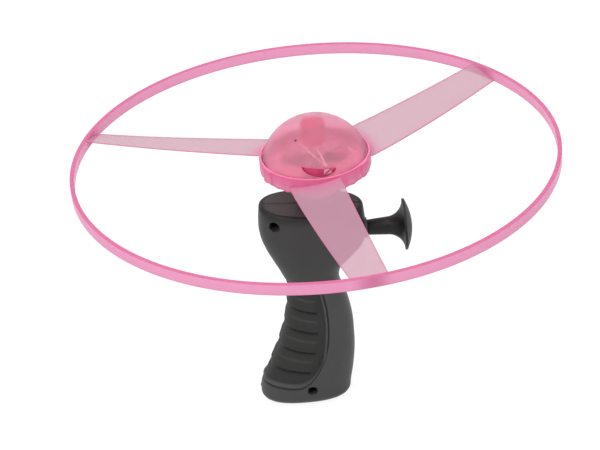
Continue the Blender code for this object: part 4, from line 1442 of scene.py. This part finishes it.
@dataclass
class PullKnob:
    """Trumpet-shaped knob with its cap, and the cord that it pulls."""

    finishes: Finishes
    face: float = 0.0242
    height: float = 0.0997
    length: float = 0.0200
    stem_length: float = 0.0100
    stem_radius: float = 0.0040
    neck_radius: float = 0.0047
    rim_radius: float = 0.0134
    rim: float = 0.0014
    bore: float = 0.0012
    recess_radius: float = 0.0070
    recess: float = 0.0026
    cap: float = 0.0012
    cap_gap: float = 0.0003
    crown: float = 0.0030
    seat: float = 0.00025
    seat_ease: float = 0.0001
    flare_rows: int = 25
    lip_rows: int = 6
    face_rows: int = 12
    steps: int = 96
    cap_steps: int = 64
    cord_radius: float = 0.00075
    cord_sides: int = 16
    cord_route: tuple[Span, ...] = (
        (0.0, -0.01185), (0.0060, -0.0113), (0.0120, -0.0070), (0.0170, -0.0022), (0.0195, -0.0003),
        (0.0233, 0.0), (0.0270, 0.0), (0.0310, 0.0), (0.0350, 0.0), (0.0390, 0.0), (0.0416, 0.0))

    def build(self, nodes: Mapping[str, bpy.types.Object]) -> None:
        """Make the knob, its cap and the cord, and dress the knot.

        Args:
            nodes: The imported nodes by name.
        """
        satin = self.finishes.knob.material()
        place(self.trumpet(satin), Body.KNOB, ["pull_knob"])
        place(self.button(satin), Body.KNOB, ["knob_cap"])
        self.cord()
        dress(nodes, ["cord_knot"], self.finishes.white.material())

    def crowned(self, radius: np.ndarray) -> np.ndarray:
        """Points of the bulged outer face, whose height falls off as the square of the radius.

        Args:
            radius: Radii from the knob's axis.

        Returns:
            Pairs of radius and height.
        """
        edge = self.rim_radius - self.rim / 2
        return np.stack([radius, self.length + self.crown * (1.0 - (radius / edge) ** 2)], -1)

    def trumpet(self, satin: bpy.types.Material) -> bpy.types.Object:
        """Spin the knob's profile: a plain stem, a quarter ellipse that flares to the rim, and a crowned face.

        Args:
            satin: Its finish.

        Returns:
            The knob.
        """
        angle = np.linspace(0.0, math.pi / 2, self.flare_rows)
        spread = self.length - self.stem_length - self.rim
        flare = np.stack([self.neck_radius + (self.rim_radius - self.neck_radius) * (1 - np.cos(angle)),
                          self.stem_length + spread * np.sin(angle)], -1)
        lip = np.linspace(0.0, math.pi / 2, self.lip_rows + 1)[1:]
        edge = np.stack([self.rim_radius - self.rim / 2 * (1 - np.cos(lip)),
                         self.length - self.rim / 2 + self.rim / 2 * np.sin(lip)], -1)
        radius = np.linspace(self.rim_radius - self.rim / 2, self.recess_radius, self.face_rows + 1)[1:]
        inner = [(self.recess_radius, self.length - self.recess), (self.bore, self.length - self.recess),
                 (self.bore, -self.seat)]
        stem = [(self.bore, -self.seat), (self.stem_radius - self.seat_ease, -self.seat),
                (self.stem_radius, 0.0)]
        points = spun(np.vstack([stem, flare, edge, self.crowned(radius), inner]), self.steps)
        return surface_object("knob_trumpet", laid_along_x(points, self.face, self.height), satin)

    def button(self, satin: bpy.types.Material) -> bpy.types.Object:
        """Spin the cap that closes the knob's recess and carries the face's crown on.

        Args:
            satin: Its finish.

        Returns:
            The cap.
        """
        radius = self.recess_radius - self.cap_gap
        face = self.crowned(np.linspace(radius, 0.0, self.face_rows))
        profile = np.vstack([[(0.0, self.length - self.cap), (radius, self.length - self.cap)], face])
        points = spun(profile, self.cap_steps)
        return surface_object("knob_button", laid_along_x(points, self.face, self.height), satin)

    def cord(self) -> bpy.types.Object:
        """Carry a circle along the cord's route from winding to knot.

        Returns:
            The cord.
        """
        flat = smooth_path(self.cord_route, per_span=5)
        path = np.column_stack([flat, np.full(len(flat), self.height)])
        points = tube(path, self.cord_radius, self.cord_sides)
        run = np.concatenate([[0.0], np.cumsum(np.linalg.norm(np.diff(path, axis=0), axis=1))])
        run = np.concatenate([run[:1], run, run[-1:]])
        uv = np.stack(np.meshgrid(np.linspace(0.0, 1.0, self.cord_sides + 1), run), axis=-1)
        piece = surface_object("pull_cord", points, self.finishes.cord.material(), uv=uv)
        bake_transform(piece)
        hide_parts("cord_lead")
        LOG.info("%s: blended from launcher to knob", piece.name)
        return piece


def set_up(thing: bpy.types.Object, axes: Sequence[np.ndarray], spot: Point) -> None:
    """Link a camera or lamp to the scene with its own axes and place.

    Args:
        thing: The camera or lamp.
        axes: Its X, Y and Z axes.
        spot: Where it stands.
    """
    matrix = np.eye(4)
    matrix[:3, :3] = np.stack(axes, axis=-1)
    matrix[:3, 3] = spot
    thing.matrix_world = Matrix(matrix.tolist())
    bpy.context.scene.collection.objects.link(thing)


@dataclass(frozen=True)
class Lamp:
    """One soft square lamp, with its side in metres and its power in watts."""

    name: str
    stand: Point
    aim: Point
    size: float
    power: float
    steep: float = 0.99

    def build(self) -> None:
        """Stand the lamp with its face turned to the point that it aims at."""
        data = bpy.data.lights.new(self.name, "AREA")
        data.shape = "SQUARE"
        data.size = self.size
        data.energy = self.power
        lamp = bpy.data.objects.new(self.name, data)
        away = np.array(self.stand) - np.array(self.aim)
        away /= np.linalg.norm(away)
        right = np.cross((0.0, 1.0, 0.0) if abs(away[2]) > self.steep else (0.0, 0.0, 1.0), away)
        right /= np.linalg.norm(right)
        set_up(lamp, [right, np.cross(away, right), away], self.stand)


@dataclass
class Studio:
    """Camera, pale floor, white backdrop and soft lights."""

    lens: float = 144.0
    sensor: float = 36.0
    elevation: float = math.radians(30.667)
    roll: float = math.radians(-5.059)
    stand: Point = (-0.01066, -1.06681, 0.73717)
    near_clip: float = 0.01
    floor_size: float = 6.0
    floor_drop: float = 0.0002
    floor_grey: Colour = (0.86, 0.86, 0.86)
    white: Colour = (1.0, 1.0, 1.0)
    floor_white: float = 0.80
    floor_level: float = 1.12
    world_level: float = 0.42
    lamps: tuple[Lamp, ...] = (
        Lamp("over", (0.0, 0.1, 1.3), (0.0, 0.0, 0.1), 1.2, 10.0),
        Lamp("key", (-0.5, -0.8, 1.1), (0.0, 0.0, 0.1), 0.4, 5.8),
        Lamp("side", (0.8, -0.35, 0.45), (0.0, 0.0, 0.07), 0.4, 0.8),
    )

    def camera(self) -> None:
        """Stand the camera where the photograph's was: its axes turned by elevation, then by roll."""
        sin_e, cos_e = math.sin(self.elevation), math.cos(self.elevation)
        right = np.array([1.0, 0.0, 0.0])
        up = np.array([0.0, sin_e, cos_e])
        forward = np.array([0.0, cos_e, -sin_e])
        c, s = math.cos(self.roll), math.sin(self.roll)
        data = bpy.data.cameras.new("photo_camera")
        data.lens = self.lens
        data.sensor_width = self.sensor
        data.clip_start = self.near_clip
        camera = bpy.data.objects.new("photo_camera", data)
        set_up(camera, [c * right + s * up, c * up - s * right, -forward], self.stand)
        bpy.context.scene.camera = camera

    @staticmethod
    def seen(tree: ShaderTree) -> Value:
        """1 for rays from the camera, a mirror or a clear piece, and 0 for rays that light the object."""
        path = tree.node("ShaderNodeLightPath")
        camera = Value(tree, path.outputs["Is Camera Ray"])
        glossy = Value(tree, path.outputs["Is Glossy Ray"])
        through = Value(tree, path.outputs["Is Transmission Ray"])
        return camera.at_least(glossy).at_least(through)

    def backdrop(self) -> None:
        """White for the camera, and a plain grey level as light."""
        world = bpy.data.worlds.new("studio")
        world.use_nodes = True
        tree = ShaderTree(world.node_tree)
        seen = self.seen(tree)
        strength = seen * (1.0 - self.world_level) + self.world_level
        shader = tree.node("ShaderNodeBackground", {}, {"Color": (*self.white, 1.0), "Strength": strength})
        tree.node("ShaderNodeOutputWorld", {}, {"Surface": shader.outputs[0]})
        bpy.context.scene.world = world

    def floor(self) -> None:
        """A pale level sheet that keeps a share of the object's shadow and is otherwise white to the camera."""
        material, tree = new_tree("studio_floor")
        plain = tree.node("ShaderNodeBsdfDiffuse", {}, {"Color": (*self.floor_grey, 1.0)})
        bright = {"Color": (*self.white, 1.0), "Strength": self.floor_level}
        white = tree.node("ShaderNodeEmission", {}, bright)
        factor = self.seen(tree) * self.floor_white
        mix = tree.node("ShaderNodeMixShader", {}, {0: factor, 1: plain.outputs[0], 2: white.outputs[0]})
        tree.node("ShaderNodeOutputMaterial", {}, {"Surface": mix.outputs[0]})
        half = self.floor_size / 2
        grid = np.linspace(-half, half, 2)
        x, y = np.meshgrid(grid, grid)
        sheet = surface_object("floor", np.stack([x, y, 0.0 * x - self.floor_drop], axis=-1), material)

    def build(self) -> None:
        """Set up the whole studio."""
        self.camera()
        self.backdrop()
        self.floor()
        for lamp in self.lamps:
            lamp.build()
        bpy.context.scene.view_settings.view_transform = "Standard"


def main() -> None:
    """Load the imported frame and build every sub-assembly in turn."""
    logging.basicConfig(level=logging.INFO, format="%(name)s: %(message)s")
    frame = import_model()
    nodes = frame["nodes"]
    finishes = Finishes()
    Studio().build()
    PullKnob(finishes).build(nodes)
    Launcher(finishes).build(nodes)
    Drive(finishes).build(nodes)
    Rotor(finishes).build(nodes)


if __name__ == "__main__":
    main()
